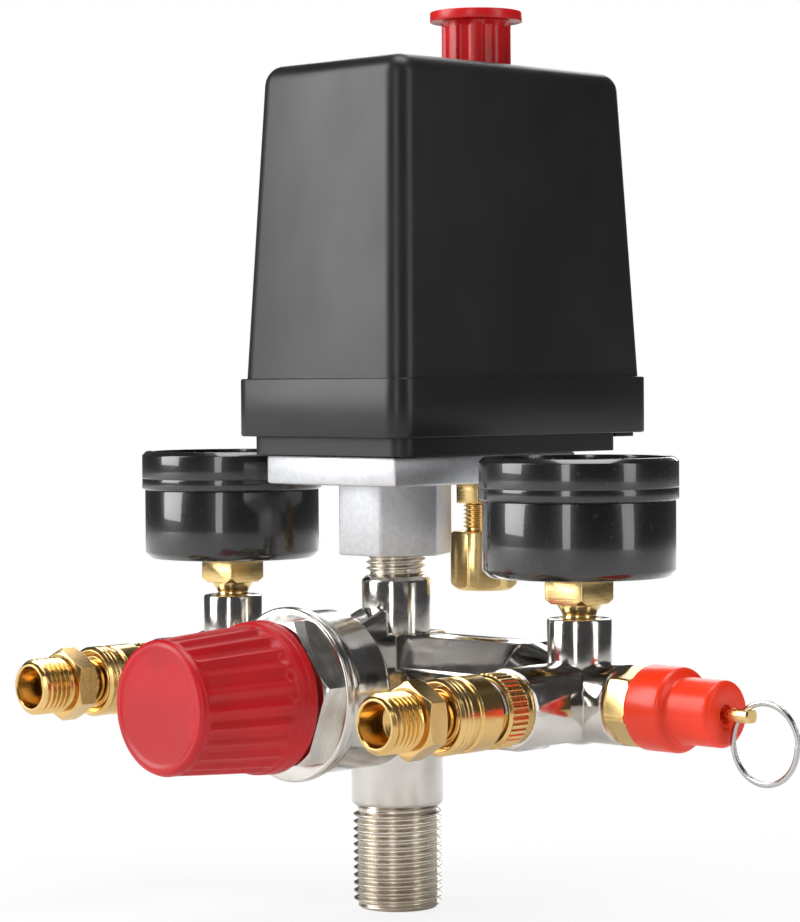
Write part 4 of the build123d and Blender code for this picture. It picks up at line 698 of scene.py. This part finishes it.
brass_z = cut_metal("turned_brass_z", (0.86, 0.62, 0.27, 1.0), 0.2)
low, high = span("unloader_body")
nut_low, nut_high = span("unloader_nut")
hex_foot = flange_foot - 5.7
at = (0, UNLOADER_Y, 0)
body = combined(solid(prism, 12.0, 6, hex_foot, flange_foot, centre=at, turn=30, soft=0.35),
                solid(threaded, *UNLOADER_THREAD, nut_high.z, hex_foot + 0.5, centre=at),
                solid(turned, [(flange_foot - 0.5, 0), (flange_foot - 0.5, 3.9), (high.z, 3.9),
                               (high.z, 0)], centre=at), how="UNION")
body = bored(body, [("Z", 1.57, low.z - 1, high.z + 1, at), ("Z", 2.5, low.z - 1, hex_foot + 1, at)])
unloader_body = finished("unloader_valve", body, brass_z)
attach(unloader_body, "root")
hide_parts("unloader_body")
nut = combined(solid(prism, 14.0, 6, nut_low.z, nut_high.z, centre=at, turn=15),
               solid(turned, [(nut_low.z, 0), (nut_low.z, 6.5), (nut_low.z + 1.6, 8.1),
                              (nut_high.z - 0.8, 8.1), (nut_high.z, 7.3), (nut_high.z, 0)],
                     centre=at, soft=0.3), how="INTERSECT")
nut = bored(nut, [("Z", 3.2, nut_low.z - 1, nut_low.z + 12, at),
                  ("Z", 2.5, nut_low.z, nut_high.z + 1, at)])
unloader_nut = finished("unloader_tube_nut", nut, brass_z)
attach(unloader_nut, "root")
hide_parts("unloader_nut")

# ---- gauges ----------------------------------------------------------------------
# Two pressure gauges. The brass sockets are turned with a square for the wrench, and the
# cases and bezels are pressed steel with gloss black enamel.
CASE_WALL = 1.0
CASE_FLOOR = 1.3
BEZEL_LIP = 2.2
LENS_DROP = 0.9
WRENCH = 11.0
SOCKET_NECK = 3.2
SOCKET_THREAD = 4.81
POST = 8.0


def enamelled(name, colour, roughness):
    """Gloss enamel: a clear coat over the colour, faint orange peel, and dust."""
    finish = Finish(name, Coat_Weight=1.0, Coat_Roughness=0.04, IOR=1.5)
    dust = finish.ramp(finish.noise(700.0, detail=6.0), 0.58, 0.75)
    finish.set("Base Color", finish.blend(dust * 0.12, colour, (0.12, 0.12, 0.12, 1.0)))
    finish.set("Roughness", finish.ramp(finish.noise(40.0), 0.3, 0.7) * 0.1 + roughness + dust * 0.1)
    finish.relief(finish.noise(420.0, detail=1.0), 0.000012, radius=0.0003)
    return finish


gloss_black = enamelled("gauge_enamel", (0.006, 0.006, 0.007, 1.0), 0.22)
for name, side in SIDES:
    at = (side * arm, 0, 0)
    low, high = span(f"gauge_socket_{name}")
    case_low, case_high = span(f"gauge_case_{name}")
    bezel_low, bezel_high = span(f"gauge_bezel_{name}")
    wrench_z = GAUGE_PORT_TOP + SOCKET_NECK
    half = WRENCH / 2
    x = side * arm
    square = combined(
        solid(block, (x - half, -half, wrench_z), (x + half, half, case_low.z), soft=0.3),
        solid(turned, [(wrench_z, 0), (wrench_z, half + 0.9), (wrench_z + 1.2, half * 1.414),
                       (case_low.z, half * 1.414), (case_low.z, 0)], centre=at), how="INTERSECT")
    neck = solid(turned, [(low.z, 0), (low.z, SOCKET_THREAD), (GAUGE_PORT_TOP, SOCKET_THREAD),
                          (GAUGE_PORT_TOP, SOCKET_THREAD - 0.9), (GAUGE_PORT_TOP + 0.8, SOCKET_THREAD - 1.1),
                          (wrench_z, SOCKET_THREAD + 0.35), (wrench_z + 1, SOCKET_THREAD + 0.35),
                          (wrench_z + 1, 0)], centre=at, soft=0.12)
    post = solid(block, (x - POST / 2, -POST / 2, case_low.z - 0.5), (x + POST / 2, POST / 2, high.z))
    socket = bored(combined(square, neck, post, how="UNION"), [("Z", 1.2, low.z - 1, high.z - 3.5, at)])
    piece = finished(f"gauge_stem_{name}", socket, brass_z)
    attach(piece, "root")
    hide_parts(f"gauge_socket_{name}")

    case = bmesh.new()
    radius = (case_high.x - case_low.x) / 2
    inner = radius - CASE_WALL
    turned(case, [(case_low.z, POST * 0.72), (case_low.z, radius - 1.5), (case_low.z + 1.5, radius),
                  (case_high.z, radius), (case_high.z, inner), (case_low.z + CASE_FLOOR, inner),
                  (case_low.z + CASE_FLOOR, POST * 0.72)],
           centre=at, sides=160, soft=0.3, hollow=True)
    piece = finished(f"gauge_cup_{name}", case, gloss_black)
    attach(piece, "root")
    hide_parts(f"gauge_case_{name}")

    bezel = bmesh.new()
    radius = (bezel_high.x - bezel_low.x) / 2
    rebate = radius - 0.95
    lens_top = bezel_high.z - LENS_DROP
    turned(bezel, [(bezel_low.z, radius - 0.5), (bezel_low.z + 0.35, radius), (bezel_low.z + 2.6, radius),
                   (bezel_low.z + 2.8, radius - 0.12), (bezel_low.z + 3.0, radius),
                   (bezel_high.z - 1.0, radius), (bezel_high.z, radius - 1.0),
                   (bezel_high.z, radius - BEZEL_LIP), (lens_top, radius - BEZEL_LIP),
                   (lens_top, rebate), (bezel_low.z, rebate)],
           centre=at, sides=160, soft=0.22, hollow=True)
    piece = finished(f"gauge_rim_{name}", bezel, gloss_black)
    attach(piece, "root")
    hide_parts(f"gauge_bezel_{name}")

# ---- gauge dials and pointers ----------------------------------------------------
# White enamelled dials printed with plain scales, a red pointer pressed on each arbor, and
# a clear polycarbonate lens under the bezel's lip.
SCALE_START = -135.0     # degrees round from +X, where the pointer rests at zero
SCALE_SWEEP = 270.0
SCALE_STEPS = 40
FIGURE_EVERY = 5
FIGURE_STEP = 20
TICK_R = 18.4
FIGURE_R = 12.6
PRINT_LIFT = 0.03
INK = (0.012, 0.012, 0.013, 1.0)


def figure(text, height, spot, angle):
    """A number as a flat mesh, at a spot on the dial."""
    letters = bpy.data.curves.new("figure", "FONT")
    letters.body = text
    letters.size = height
    letters.align_x = "CENTER"
    letters.align_y = "CENTER"
    letters.resolution_u = 3
    shown = bpy.data.objects.new("figure", letters)
    scene.collection.objects.link(shown)
    bpy.context.view_layer.update()
    mesh = bpy.data.meshes.new_from_object(shown)
    bpy.data.objects.remove(shown)
    bm = bmesh.new()
    bm.from_mesh(mesh)
    bmesh.ops.rotate(bm, matrix=Matrix.Rotation(radians(angle), 3, "Z"), verts=bm.verts)
    bmesh.ops.translate(bm, vec=spot, verts=bm.verts)
    mesh.clear_geometry()
    bm.to_mesh(mesh)
    bm.free()
    return mesh


def printed(bm, x, z):
    """Adds the scale: an arc of ticks, longer at each figure, and the figures."""
    for step in range(SCALE_STEPS + 1):
        angle = radians(SCALE_START - SCALE_SWEEP * step / SCALE_STEPS)
        major = step % FIGURE_EVERY == 0
        length, width = (3.0, 0.5) if major else (1.6, 0.22)
        tick = bmesh.ops.create_grid(bm, x_segments=1, y_segments=1, size=0.5)["verts"]
        bmesh.ops.scale(bm, vec=(length, width, 1), verts=tick)
        bmesh.ops.translate(bm, vec=(TICK_R - length / 2, 0, z), verts=tick)
        bmesh.ops.rotate(bm, matrix=Matrix.Rotation(angle, 3, "Z"), verts=tick)
        bmesh.ops.translate(bm, vec=(x, 0, 0), verts=tick)
        if major:
            text = str(step // FIGURE_EVERY * FIGURE_STEP)
            spot = (x + FIGURE_R * cos(angle), FIGURE_R * sin(angle), z)
            bm.from_mesh(figure(text, 3.4, spot, 180))
    bm.from_mesh(figure("psi", 2.8, (x, -7.0, z), 180))


white = Finish("dial_paint", Coat_Weight=0.3)
speckle = white.noise(500.0, detail=4.0)
white.set("Base Color", white.blend(white.ramp(speckle, 0.3, 0.8), (0.86, 0.86, 0.84, 1.0),
                                    (0.8, 0.8, 0.77, 1.0)))
white.set("Roughness", speckle * 0.15 + 0.35)
white.relief(speckle, 0.000004)
black_ink = Finish("dial_ink")
fade = black_ink.noise(2200.0, detail=3.0)
black_ink.set("Base Color", black_ink.blend(black_ink.ramp(fade, 0.5, 0.9), INK, (0.06, 0.06, 0.06, 1.0)))
black_ink.set("Roughness", fade * 0.2 + 0.4)
pointer_paint = enamelled("pointer_paint", (0.72, 0.02, 0.015, 1.0), 0.3)
clear = Finish("lens_clear", Transmission_Weight=1.0, IOR=1.58)
clear.set("Roughness", clear.ramp(clear.noise(900.0, detail=6.0), 0.66, 0.8) * 0.12 + 0.01)
clear.relief(clear.noise(35.0), 0.00002)
for name, side in SIDES:
    x = side * arm
    low, high = span(f"gauge_dial_{name}")
    radius = (high.x - low.x) / 2
    dial = bmesh.new()
    turned(dial, [(low.z, 1.1), (low.z, radius), (high.z - 0.1, radius), (high.z, radius - 0.1),
                  (high.z, 1.1)], centre=(x, 0, 0), sides=128, hollow=True)
    piece = finished(f"gauge_face_{name}", dial, white)
    piece.data.materials.append(black_ink.material)
    plain = len(piece.data.polygons)
    face = bmesh.new()
    face.from_mesh(piece.data)
    ink = bmesh.new()
    printed(ink, x, high.z + PRINT_LIFT)
    bmesh.ops.scale(ink, vec=(MM,) * 3, verts=ink.verts)
    for drawn in ink.faces:
        drawn.normal_update()
        if drawn.normal.z < 0:
            drawn.normal_flip()
    marks = bpy.data.meshes.new("marks")
    ink.to_mesh(marks)
    face.from_mesh(marks)
    face.faces.ensure_lookup_table()
    for drawn in face.faces[plain:]:
        drawn.material_index = 1
        drawn.smooth = False
    face.to_mesh(piece.data)
    bpy.data.meshes.remove(marks)
    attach(piece, "root")
    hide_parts(f"gauge_dial_{name}")
    for node, finish in ((f"gauge_pointer_{name}", pointer_paint), (f"gauge_lens_{name}", clear)):
        for place in nodes[node].material_slots:
            place.material = finish.material

# ---- regulator -------------------------------------------------------------------
# The bonnet is a plated hexagon on a round flange that clamps the rubber diaphragm to the
# cup. The fluted knob over its tube is moulded in red nylon and pulls forward to unlock.
BONNET_FLATS = 32.5
BONNET_FLANGE = 2.2
BONNET_TURN = 21.0
BONNET_TUBE = 13.2
BONNET_BORE = 11.3
FLUTES = 24
FLUTE_DEPTH = 0.85
FLUTE_SHARE = 0.42       # of the pitch between two flutes

low, high = span("regulator_bonnet")
tube_face, bonnet_back = low.y, high.y
hex_face = -40.5
flange_face = bonnet_back - BONNET_FLANGE
corner = BONNET_FLATS / 2 / cos(pi / 6)
flange_r = (high.x - low.x) / 2
bonnet = combined(solid(prism, BONNET_FLATS, 6, hex_face - 1, flange_face + 1, axis="Y", centre=centre,
                        turn=BONNET_TURN),
                  solid(turned, [(hex_face, 0), (hex_face, corner - 1.5), (hex_face + 0.9, corner),
                                 (flange_face + 0.5, corner), (flange_face + 0.5, 0)], axis="Y",
                        centre=centre, sides=128, soft=0.25), how="INTERSECT")
bonnet = combined(bonnet,
                  solid(turned, [(flange_face, 0), (flange_face, flange_r - 0.4),
                                 (flange_face + 0.4, flange_r), (bonnet_back, flange_r),
                                 (bonnet_back, 0)], axis="Y", centre=centre, sides=128, soft=0.15),
                  solid(turned, [(tube_face, 0), (tube_face, BONNET_TUBE - 0.6),
                                 (tube_face + 0.6, BONNET_TUBE), (hex_face + 0.5, BONNET_TUBE),
                                 (hex_face + 0.5, 0)], axis="Y", centre=centre), how="UNION")
bonnet = bored(bonnet, [("Y", BONNET_BORE, tube_face + 2, bonnet_back + 1, centre),
                        ("Y", 3.07, tube_face - 1, tube_face + 3, centre)])
bonnet_nickel = plated("bonnet_nickel", (0.78, 0.76, 0.71, 1.0), (0.60, 0.56, 0.49, 1.0), 0.2, 0.00005,
                       radius=0.0003)
piece = finished("regulator_hexagon", bonnet, bonnet_nickel, sharp=24.0)
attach(piece, "root")
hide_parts("regulator_bonnet")

low, high = span("regulator_knob")
face_y, rear_y = low.y, high.y
skirt_y = rear_y - 4.5
cap = bmesh.new()
bore_y = -63.1
turned(cap, [
    (face_y + 0.5, 0), (face_y + 0.42, 9.0), (face_y + 0.3, 12.4), (face_y + 0.05, 13.2),
    (face_y, 14.0), (face_y + 0.5, 14.8), (face_y + 1.4, 15.2), (face_y + 2.4, 15.25),
    (face_y + 3.4, 15.3), (face_y + 12, 15.9), (skirt_y - 3, 16.7), (skirt_y - 2, 16.78),
    (skirt_y - 1, 16.85), (skirt_y, 16.9), (skirt_y + 0.35, 17.35), (rear_y - 2.3, 17.45),
    (rear_y - 2.1, 17.3), (rear_y - 1.9, 17.5), (rear_y, 17.6), (rear_y, 13.7), (bore_y, 13.7),
    (bore_y, 3.6), (-68.6, 3.6), (-68.6, 0),
], axis="Y", centre=centre, sides=FLUTES * 8, soft=0.12)
for vert in cap.verts:
    across = Vector((vert.co.x, 0, vert.co.z - axis_z))
    ends = min(vert.co.y - (face_y + 1.6), skirt_y - 0.6 - vert.co.y) / 1.6
    if across.length > 14.5 and ends > 0:
        share = (FLUTES * atan2(across.z, across.x) / (2 * pi)) % 1.0
        sink = max(0.0, 1 - (abs(share - 0.5) / FLUTE_SHARE) ** 2) * min(1.0, ends)
        vert.co -= across.normalized() * FLUTE_DEPTH * sink
knob_red = moulded("knob_red", (0.60, 0.002, 0.008, 1.0), 0.36, grain=0.00001)
piece = finished("regulator_cap", cap, knob_red)
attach(piece, "regulator_knob")
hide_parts("regulator_knob")

# ---- quick couplers --------------------------------------------------------------
# Brass quick couplers, all turned from bar. A knurled ring tightens the socket in the tee,
# the sleeve slides back on a spring to free the balls, and the plug has a hose thread.
RING_TEETH = 36
TOOTH_DEPTH = 0.5
SLEEVE = 8.35
SLEEVE_GROOVE = 7.8
TUBE = 6.4
PLUG_FLATS = 15.0
PLUG_THREAD = (6.5785, 1.337)

brass_y = cut_metal("turned_brass_y", (0.80, 0.54, 0.215, 1.0), 0.2, axis="Y")
for name, side in SIDES:
    at = (side * arm, 0, axis_z)
    low, high = span(f"coupler_sleeve_{name}")
    sleeve_front, sleeve_tail = low.y, high.y
    low, high = span(f"coupler_socket_{name}")
    tube_face = low.y
    ring_face, ring_back = FRONT_PORT - 7.0, FRONT_PORT - 1.0
    ring = bmesh.new()
    turned(ring, [(ring_face, 6.0), (ring_face, SLEEVE - 0.9), (ring_face + 0.6, SLEEVE - 0.3),
                  (ring_face + 0.61, SLEEVE), (ring_back - 0.61, SLEEVE), (ring_back - 0.6, SLEEVE - 0.3),
                  (ring_back, 7.9), (FRONT_PORT, 7.9), (FRONT_PORT, 6.0)],
           axis="Y", centre=at, sides=RING_TEETH * 4, hollow=True)
    for vert in ring.verts:
        across = Vector((vert.co.x - at[0], 0, vert.co.z - axis_z))
        if across.length > SLEEVE - 0.05:
            share = (RING_TEETH * atan2(across.z, across.x) / (2 * pi)) % 1.0
            vert.co -= across.normalized() * TOOTH_DEPTH * max(0.0, 1 - abs(share - 0.5) / 0.3)
    bmesh.ops.recalc_face_normals(ring, faces=ring.faces)
    tube = solid(turned, [(tube_face, 4.57), (tube_face, TUBE - 0.3), (tube_face + 0.3, TUBE),
                          (FRONT_PORT - 0.5, TUBE), (FRONT_PORT - 0.5, 6.53), (high.y, 6.53),
                          (high.y, 3.5), (-35.5, 3.5), (-35.5, 4.57)],
                 axis="Y", centre=at, hollow=True)
    socket = joined(tube, ring)
    piece = finished(f"coupler_tube_{name}", socket, brass_y, sharp=24.0)
    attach(piece, "root")
    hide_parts(f"coupler_socket_{name}")

    sleeve = bmesh.new()
    collar, groove = sleeve_front + 4.2, sleeve_front + 6.2
    bands = []
    for place in (collar - 2.6, collar - 1.4):
        bands += [(place, SLEEVE), (place + 0.12, SLEEVE - 0.14), (place + 0.3, SLEEVE - 0.14),
                  (place + 0.42, SLEEVE)]
    turned(sleeve, [
        (sleeve_front, TUBE + 0.95), (sleeve_front, SLEEVE - 0.7), (sleeve_front + 0.7, SLEEVE), *bands,
        (collar - 0.3, SLEEVE), (collar, SLEEVE_GROOVE), (groove, SLEEVE_GROOVE),
        (groove + 0.3, SLEEVE), (sleeve_tail - 0.4, SLEEVE), (sleeve_tail, SLEEVE - 0.4),
        (sleeve_tail, 7.4), (sleeve_tail - 4.8, 7.4), (sleeve_tail - 4.8, TUBE + 0.07),
        (sleeve_front + 2.6, TUBE + 0.07), (sleeve_front + 2.6, TUBE + 0.95),
    ], axis="Y", centre=at, sides=128, hollow=True)
    piece = finished(f"coupler_grip_{name}", sleeve, brass_y)
    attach(piece, f"sleeve_{name}")
    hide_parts(f"coupler_sleeve_{name}")

    low, high = span(f"coupler_plug_{name}")
    plug_face, hex_back = low.y, sleeve_front - 3.8
    shoulder = hex_back - 5.4
    corner = PLUG_FLATS / 2 / cos(pi / 6)
    hexagon = combined(solid(prism, PLUG_FLATS, 6, shoulder - 1, hex_back + 1, axis="Y", centre=at),
                       solid(turned, [(shoulder, 0), (shoulder, corner - 1.3), (shoulder + 0.7, corner),
                                      (hex_back - 0.7, corner), (hex_back, corner - 1.3), (hex_back, 0)],
                             axis="Y", centre=at, soft=0.2), how="INTERSECT")
    mouth = [(plug_face - 1, 0), (plug_face - 1, 5.6), (plug_face + 0.35, 4.8), (plug_face + 7.2, 4.7),
             (plug_face + 8.6, 2.5), (hex_back + 2, 2.5), (hex_back + 2, 0)]
    hexagon = combined(hexagon, solid(turned, mouth, axis="Y", centre=at))
    screw = combined(solid(threaded, *PLUG_THREAD, plug_face, shoulder + 0.3, axis="Y", centre=at),
                     solid(turned, mouth, axis="Y", centre=at))
    nose = solid(turned, [
        (hex_back - 0.5, 2.5), (hex_back - 0.5, 5.2), (hex_back + 1.1, 5.2), (hex_back + 1.3, 5.0),
        (hex_back + 1.6, 5.0), (hex_back + 1.8, 5.2), (tube_face - 0.3, 5.2), (tube_face - 0.3, 4.5),
        (sleeve_front + 2.6, 4.5), (sleeve_front + 2.9, 3.9), (sleeve_front + 5.1, 3.9),
        (sleeve_front + 5.4, 4.5), (high.y - 1, 4.5), (high.y, 3.5), (high.y, 2.5),
    ], axis="Y", centre=at, soft=0.08, hollow=True)
    relief = solid(turned, [(shoulder - 1.6, 5.2), (shoulder - 1.6, 5.75), (shoulder + 0.2, 5.75),
                            (shoulder + 0.2, 5.2)], axis="Y", centre=at, hollow=True)
    plug = joined(hexagon, screw, nose, relief)
    piece = finished(f"hose_plug_{name}", plug, brass_y, sharp=24.0)
    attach(piece, f"plug_{name}")
    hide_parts(f"coupler_plug_{name}")

# ---- safety valve ----------------------------------------------------------------
# Brass hexagon body, a red anodised cap screwed on it, and a brass stem whose flattened
# end carries a split ring of polished spring wire. Pulling the ring lifts the poppet.
CAP = 9.4
CAP_TIP = 7.3
STEM = 1.2
STEM_HEAD = 1.95
EYE_HALF = 1.35
RING_DROOP = 40.0
WIRE_HALF = 0.6          # half width of the flat wire
RING_WIRE = 0.2          # half thickness of each of its two turns
RING_STEPS = 96

brass_x = cut_metal("turned_brass_x", (0.86, 0.62, 0.27, 1.0), 0.2, axis="X")
low, high = span("relief_body")
cap_low, cap_high = span("relief_cap")
hex_end = cap_low.x
corner = 15.6 / 2 / cos(pi / 6)
valve = combined(solid(prism, 15.6, 6, valve_x - 1, hex_end + 1, axis="X", centre=centre, turn=15),
                 solid(turned, [(valve_x, 0), (valve_x, corner - 1.2), (valve_x + 0.8, corner),
                                (hex_end - 0.6, corner), (hex_end, corner - 0.8), (hex_end, 0)],
                       axis="X", centre=centre, soft=0.2), how="INTERSECT")
valve = bored(valve, [("X", 4.1, valve_x - 1, hex_end + 1, centre)])
valve = joined(
    valve,
    solid(turned, [(low.x, 2.0), (low.x, 6.53), (valve_x + 0.5, 6.53), (valve_x + 0.5, 4.0),
                   (70.2, 4.0), (70.2, 2.0)], axis="X", centre=centre, hollow=True),
    solid(turned, [(hex_end - 0.5, 4.1), (hex_end - 0.5, 6.2), (high.x, 6.2), (high.x, 4.1)],
          axis="X", centre=centre, hollow=True))
piece = finished("relief_hexagon", valve, brass_x)
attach(piece, "root")
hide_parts("relief_body")

tip_x = cap_low.x + 10.5
cap_end = cap_high.x
shell = bmesh.new()
turned(shell, [
    (cap_low.x, 6.27), (cap_low.x, CAP - 0.9), (cap_low.x + 1.0, CAP), (tip_x - 1.1, CAP),
    (tip_x - 0.3, CAP - 0.55), (tip_x, CAP_TIP + 0.5), (tip_x + 0.4, CAP_TIP), (cap_end - 0.9, CAP_TIP),
    (cap_end, CAP_TIP - 0.9), (cap_end, 3.4), (cap_end - 0.35, 3.0), (cap_end - 0.35, 2.05),
    (cap_end - 2.0, 2.05), (cap_end - 2.0, STEM + 0.07), (cap_end - 3.4, STEM + 0.07),
    (cap_end - 3.4, 4.1), (cap_low.x + 6.12, 4.1), (cap_low.x + 6.12, 6.27),
], axis="X", centre=centre, sides=128, soft=0.25, hollow=True)
cap_red = moulded("valve_cap_red", (1.0, 0.045, 0.01, 1.0), 0.3, grain=0.000006, grain_size=1400.0)
piece = finished("relief_shell", shell, cap_red)
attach(piece, "root")
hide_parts("relief_cap")

low, high = span("relief_stem")
head_x = cap_end + 0.8
stem = solid(turned, [(low.x, 0), (low.x, 3.6), (low.x + 2.2, 3.6), (low.x + 2.2, STEM), (head_x, STEM),
                      (head_x + 0.8, STEM_HEAD), (high.x - 0.4, STEM_HEAD), (high.x, STEM_HEAD - 0.4),
                      (high.x, 0)], axis="X", centre=centre, sides=48)
eye_x = (head_x + high.x) / 2 - 0.25
lean = EYE_HALF * tan(radians(RING_DROOP)) + 0.6 / cos(radians(RING_DROOP)) + 0.45
slot_ends = [solid(turned, [(axis_z - 3, 0), (axis_z - 3, 0.85), (axis_z + 3, 0.85), (axis_z + 3, 0)],
                   centre=(eye_x + way * (lean - 0.85), 0, 0), sides=24) for way in (-1, 1)]
stem = combined(
    stem,
    solid(block, (head_x - 0.2, -4, axis_z + EYE_HALF), (high.x + 1, 4, axis_z + 5)),
    solid(block, (head_x - 0.2, -4, axis_z - 5), (high.x + 1, 4, axis_z - EYE_HALF)),
    solid(block, (eye_x - lean + 0.85, -0.85, axis_z - 3), (eye_x + lean - 0.85, 0.85, axis_z + 3)),
    *slot_ends)
piece = finished("relief_pin", stem, brass_x)
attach(piece, "relief_stem")
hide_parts("relief_stem")

low, high = span("pull_ring")
ring_centre = (low + high) / 2
ring_r = (high.x - low.x) / 2 - WIRE_HALF
split = bmesh.new()
wire = bmesh.ops.create_circle(split, segments=16, radius=1.0)["verts"]
bmesh.ops.scale(split, vec=(WIRE_HALF, RING_WIRE, 1.0), verts=wire)
bmesh.ops.translate(split, vec=(ring_r, -2 * RING_WIRE, 0), verts=wire)
edges = once(e for v in wire for e in v.link_edges)
bmesh.ops.spin(split, geom=wire + edges, cent=(0, 0, 0), axis=(0, 1, 0), angle=4 * pi,
               dvec=(0, 2 * RING_WIRE / RING_STEPS, 0), steps=2 * RING_STEPS, use_merge=False)
open_ends = [e for e in split.edges if len(e.link_faces) == 1]
bmesh.ops.holes_fill(split, edges=open_ends, sides=0)
bmesh.ops.translate(split, vec=ring_centre, verts=split.verts)
wire_steel = cut_metal("polished_wire", (0.52, 0.51, 0.5, 1.0), 0.12, axis="Y")
piece = finished("split_ring", split, wire_steel, sharp=60.0)
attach(piece, "pull_ring")
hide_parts("pull_ring")

# ---- works and small pieces ------------------------------------------------------
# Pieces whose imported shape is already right: the switch's works, springs, balls, seals and
# the gauges' movements. Each keeps its shape and takes the finish of the real metal or
# plastic.
zinc = cut_metal("zinc_plate", (0.70, 0.71, 0.74, 1.0), 0.3)
drawn_wire = cut_metal("drawn_wire", (0.52, 0.52, 0.54, 1.0), 0.28, axis="X")
base_plastic = moulded("base_black", (0.012, 0.012, 0.013, 1.0), 0.45, grain=0.00002)
phenolic = moulded("block_brown", (0.055, 0.045, 0.04, 1.0), 0.42, grain=0.00002, grain_size=1500.0)
seal_rubber = moulded("seal_rubber", (0.016, 0.016, 0.016, 1.0), 0.75, grain=0.00003, grain_size=900.0)
ball_steel = cut_metal("ball_steel", (0.74, 0.74, 0.76, 1.0), 0.08, axis="X")
FINISH_OF = (
    (zinc, ("hub_screws", "cover_screw", "trip_lever", "steel_frame", "lever_pin", "pressure_lever",
            "range_bolt", "range_nut", "terminal_screws", "regulator_spindle", "regulator_seat")),
    (drawn_wire, ("range_spring", "regulator_spring", "relief_spring", "coupler_spring_left",
                  "coupler_spring_right")),
    (base_plastic, ("switch_base", "gland_plate")),
    (phenolic, ("contact_block",)),
    (seal_rubber, ("cable_grommets", "switch_diaphragm", "regulator_diaphragm")),
    (ball_steel, ("coupler_balls",)),
    (brass_z, ("unloader_pin", "plunger", "terminals", "contact_bridge", "gauge_movements",
               "bourdon_tubes")),
    (brass_y, ("regulator_poppet",)),
)
for finish, names in FINISH_OF:
    for name in names:
        for place in nodes[name].material_slots:
            place.material = finish.material

# ---- studio ----------------------------------------------------------------------
# A long lens at the height of the gauges looks along the corner between the regulator and
# the safety valve. The object stands on a pale floor in a white room, between soft boxes
# that leave dark gaps for the plating to show.
CAMERA_AT = (0.5078, -0.5046, 0.1253)
CAMERA_HEADING = 45.09      # degrees round from +Y
CAMERA_PITCH = -1.56
CAMERA_ROLL = -0.38
CAMERA_LENS = 117.97
FLOOR_SIZE = 9.0
FLOOR_GLOW = (0.84, 1.0)    # share of plain white, near the object and far from it
FLOOR_FADE = (0.1, 0.7)     # metres from the object
WHITE = (1.0, 1.0, 1.0, 1.0)
ROOM_DARK = (0.07, 0.07, 0.075, 1.0)
# name, place, watts, width, height
SOFT_BOXES = (
    ("key", (-0.95, -1.15, 0.75), 22.0, 0.9, 1.3),
    ("fill", (1.25, 0.25, 0.45), 4.0, 0.35, 1.2),
    ("front", (0.75, -1.35, 0.45), 4.0, 0.25, 1.1),
    ("top", (0.1, 0.1, 1.5), 13.0, 0.9, 0.9),
    ("back", (-0.7, 0.95, 0.7), 6.0, 0.7, 0.9),
)


def aimed(place, target):
    """A turn that points an object's -Z from a place to a target."""
    return (Vector(target) - Vector(place)).to_track_quat("-Z", "Y").to_euler()


def mixed(tree, share, low, high):
    """A shader that is low where share is 0 and high where it is 1, sent to the tree's output."""
    mix = tree.nodes.new("ShaderNodeMixShader")
    for socket, link in enumerate((share, low, high)):
        tree.links.new(link, mix.inputs[socket])
    end = next(node for node in tree.nodes if node.type.startswith("OUTPUT"))
    tree.links.new(mix.outputs[0], end.inputs["Surface"])


lens = bpy.data.cameras.new("camera")
lens.lens = CAMERA_LENS
lens.sensor_width = 36.0
lens.clip_start = 0.01
camera = bpy.data.objects.new("camera", lens)
turn = Matrix.Rotation(radians(CAMERA_HEADING), 4, "Z")
turn = turn @ Matrix.Rotation(radians(90 + CAMERA_PITCH), 4, "X")
turn = turn @ Matrix.Rotation(radians(CAMERA_ROLL), 4, "Z")
camera.matrix_world = Matrix.Translation(CAMERA_AT) @ turn
scene.collection.objects.link(camera)
scene.camera = camera
scene.view_settings.view_transform = "Standard"

for name, place, watts, width, height in SOFT_BOXES:
    light = bpy.data.lights.new(name, "AREA")
    light.shape = "RECTANGLE"
    light.energy = watts
    light.size = width
    light.size_y = height
    box = bpy.data.objects.new(name, light)
    box.location = place
    box.rotation_euler = aimed(place, (0.0, 0.0, 0.1))
    box.visible_camera = False
    scene.collection.objects.link(box)

room = bpy.data.worlds.new("room")
room.use_nodes = True
scene.world = room
seen = room.node_tree.nodes.new("ShaderNodeLightPath").outputs["Is Camera Ray"]
dim = room.node_tree.nodes["Background"]
dim.inputs["Color"].default_value = ROOM_DARK
bright = room.node_tree.nodes.new("ShaderNodeBackground")
bright.inputs["Color"].default_value = WHITE
mixed(room.node_tree, seen, dim.outputs[0], bright.outputs[0])

ground = bmesh.new()
bmesh.ops.create_grid(ground, x_segments=1, y_segments=1, size=FLOOR_SIZE)
floor_mesh = bpy.data.meshes.new("floor")
ground.to_mesh(floor_mesh)
floor = bpy.data.objects.new("floor", floor_mesh)
scene.collection.objects.link(floor)
paper = Finish("floor_paper", Base_Color=(0.9, 0.9, 0.9, 1.0), Roughness=0.8)
glow = paper.node("Emission", values={"Color": WHITE})
seen = paper.node("LightPath", out="Is Camera Ray")
away = paper.node("VectorMath", {"operation": "LENGTH"}, {0: paper.place()}, out="Value")
near, far = FLOOR_GLOW
share = seen * (paper.ramp(away, *FLOOR_FADE) * (far - near) + near)
mixed(paper.tree, share.socket, paper.shader.outputs[0], glow.socket)
floor.data.materials.append(paper.material)
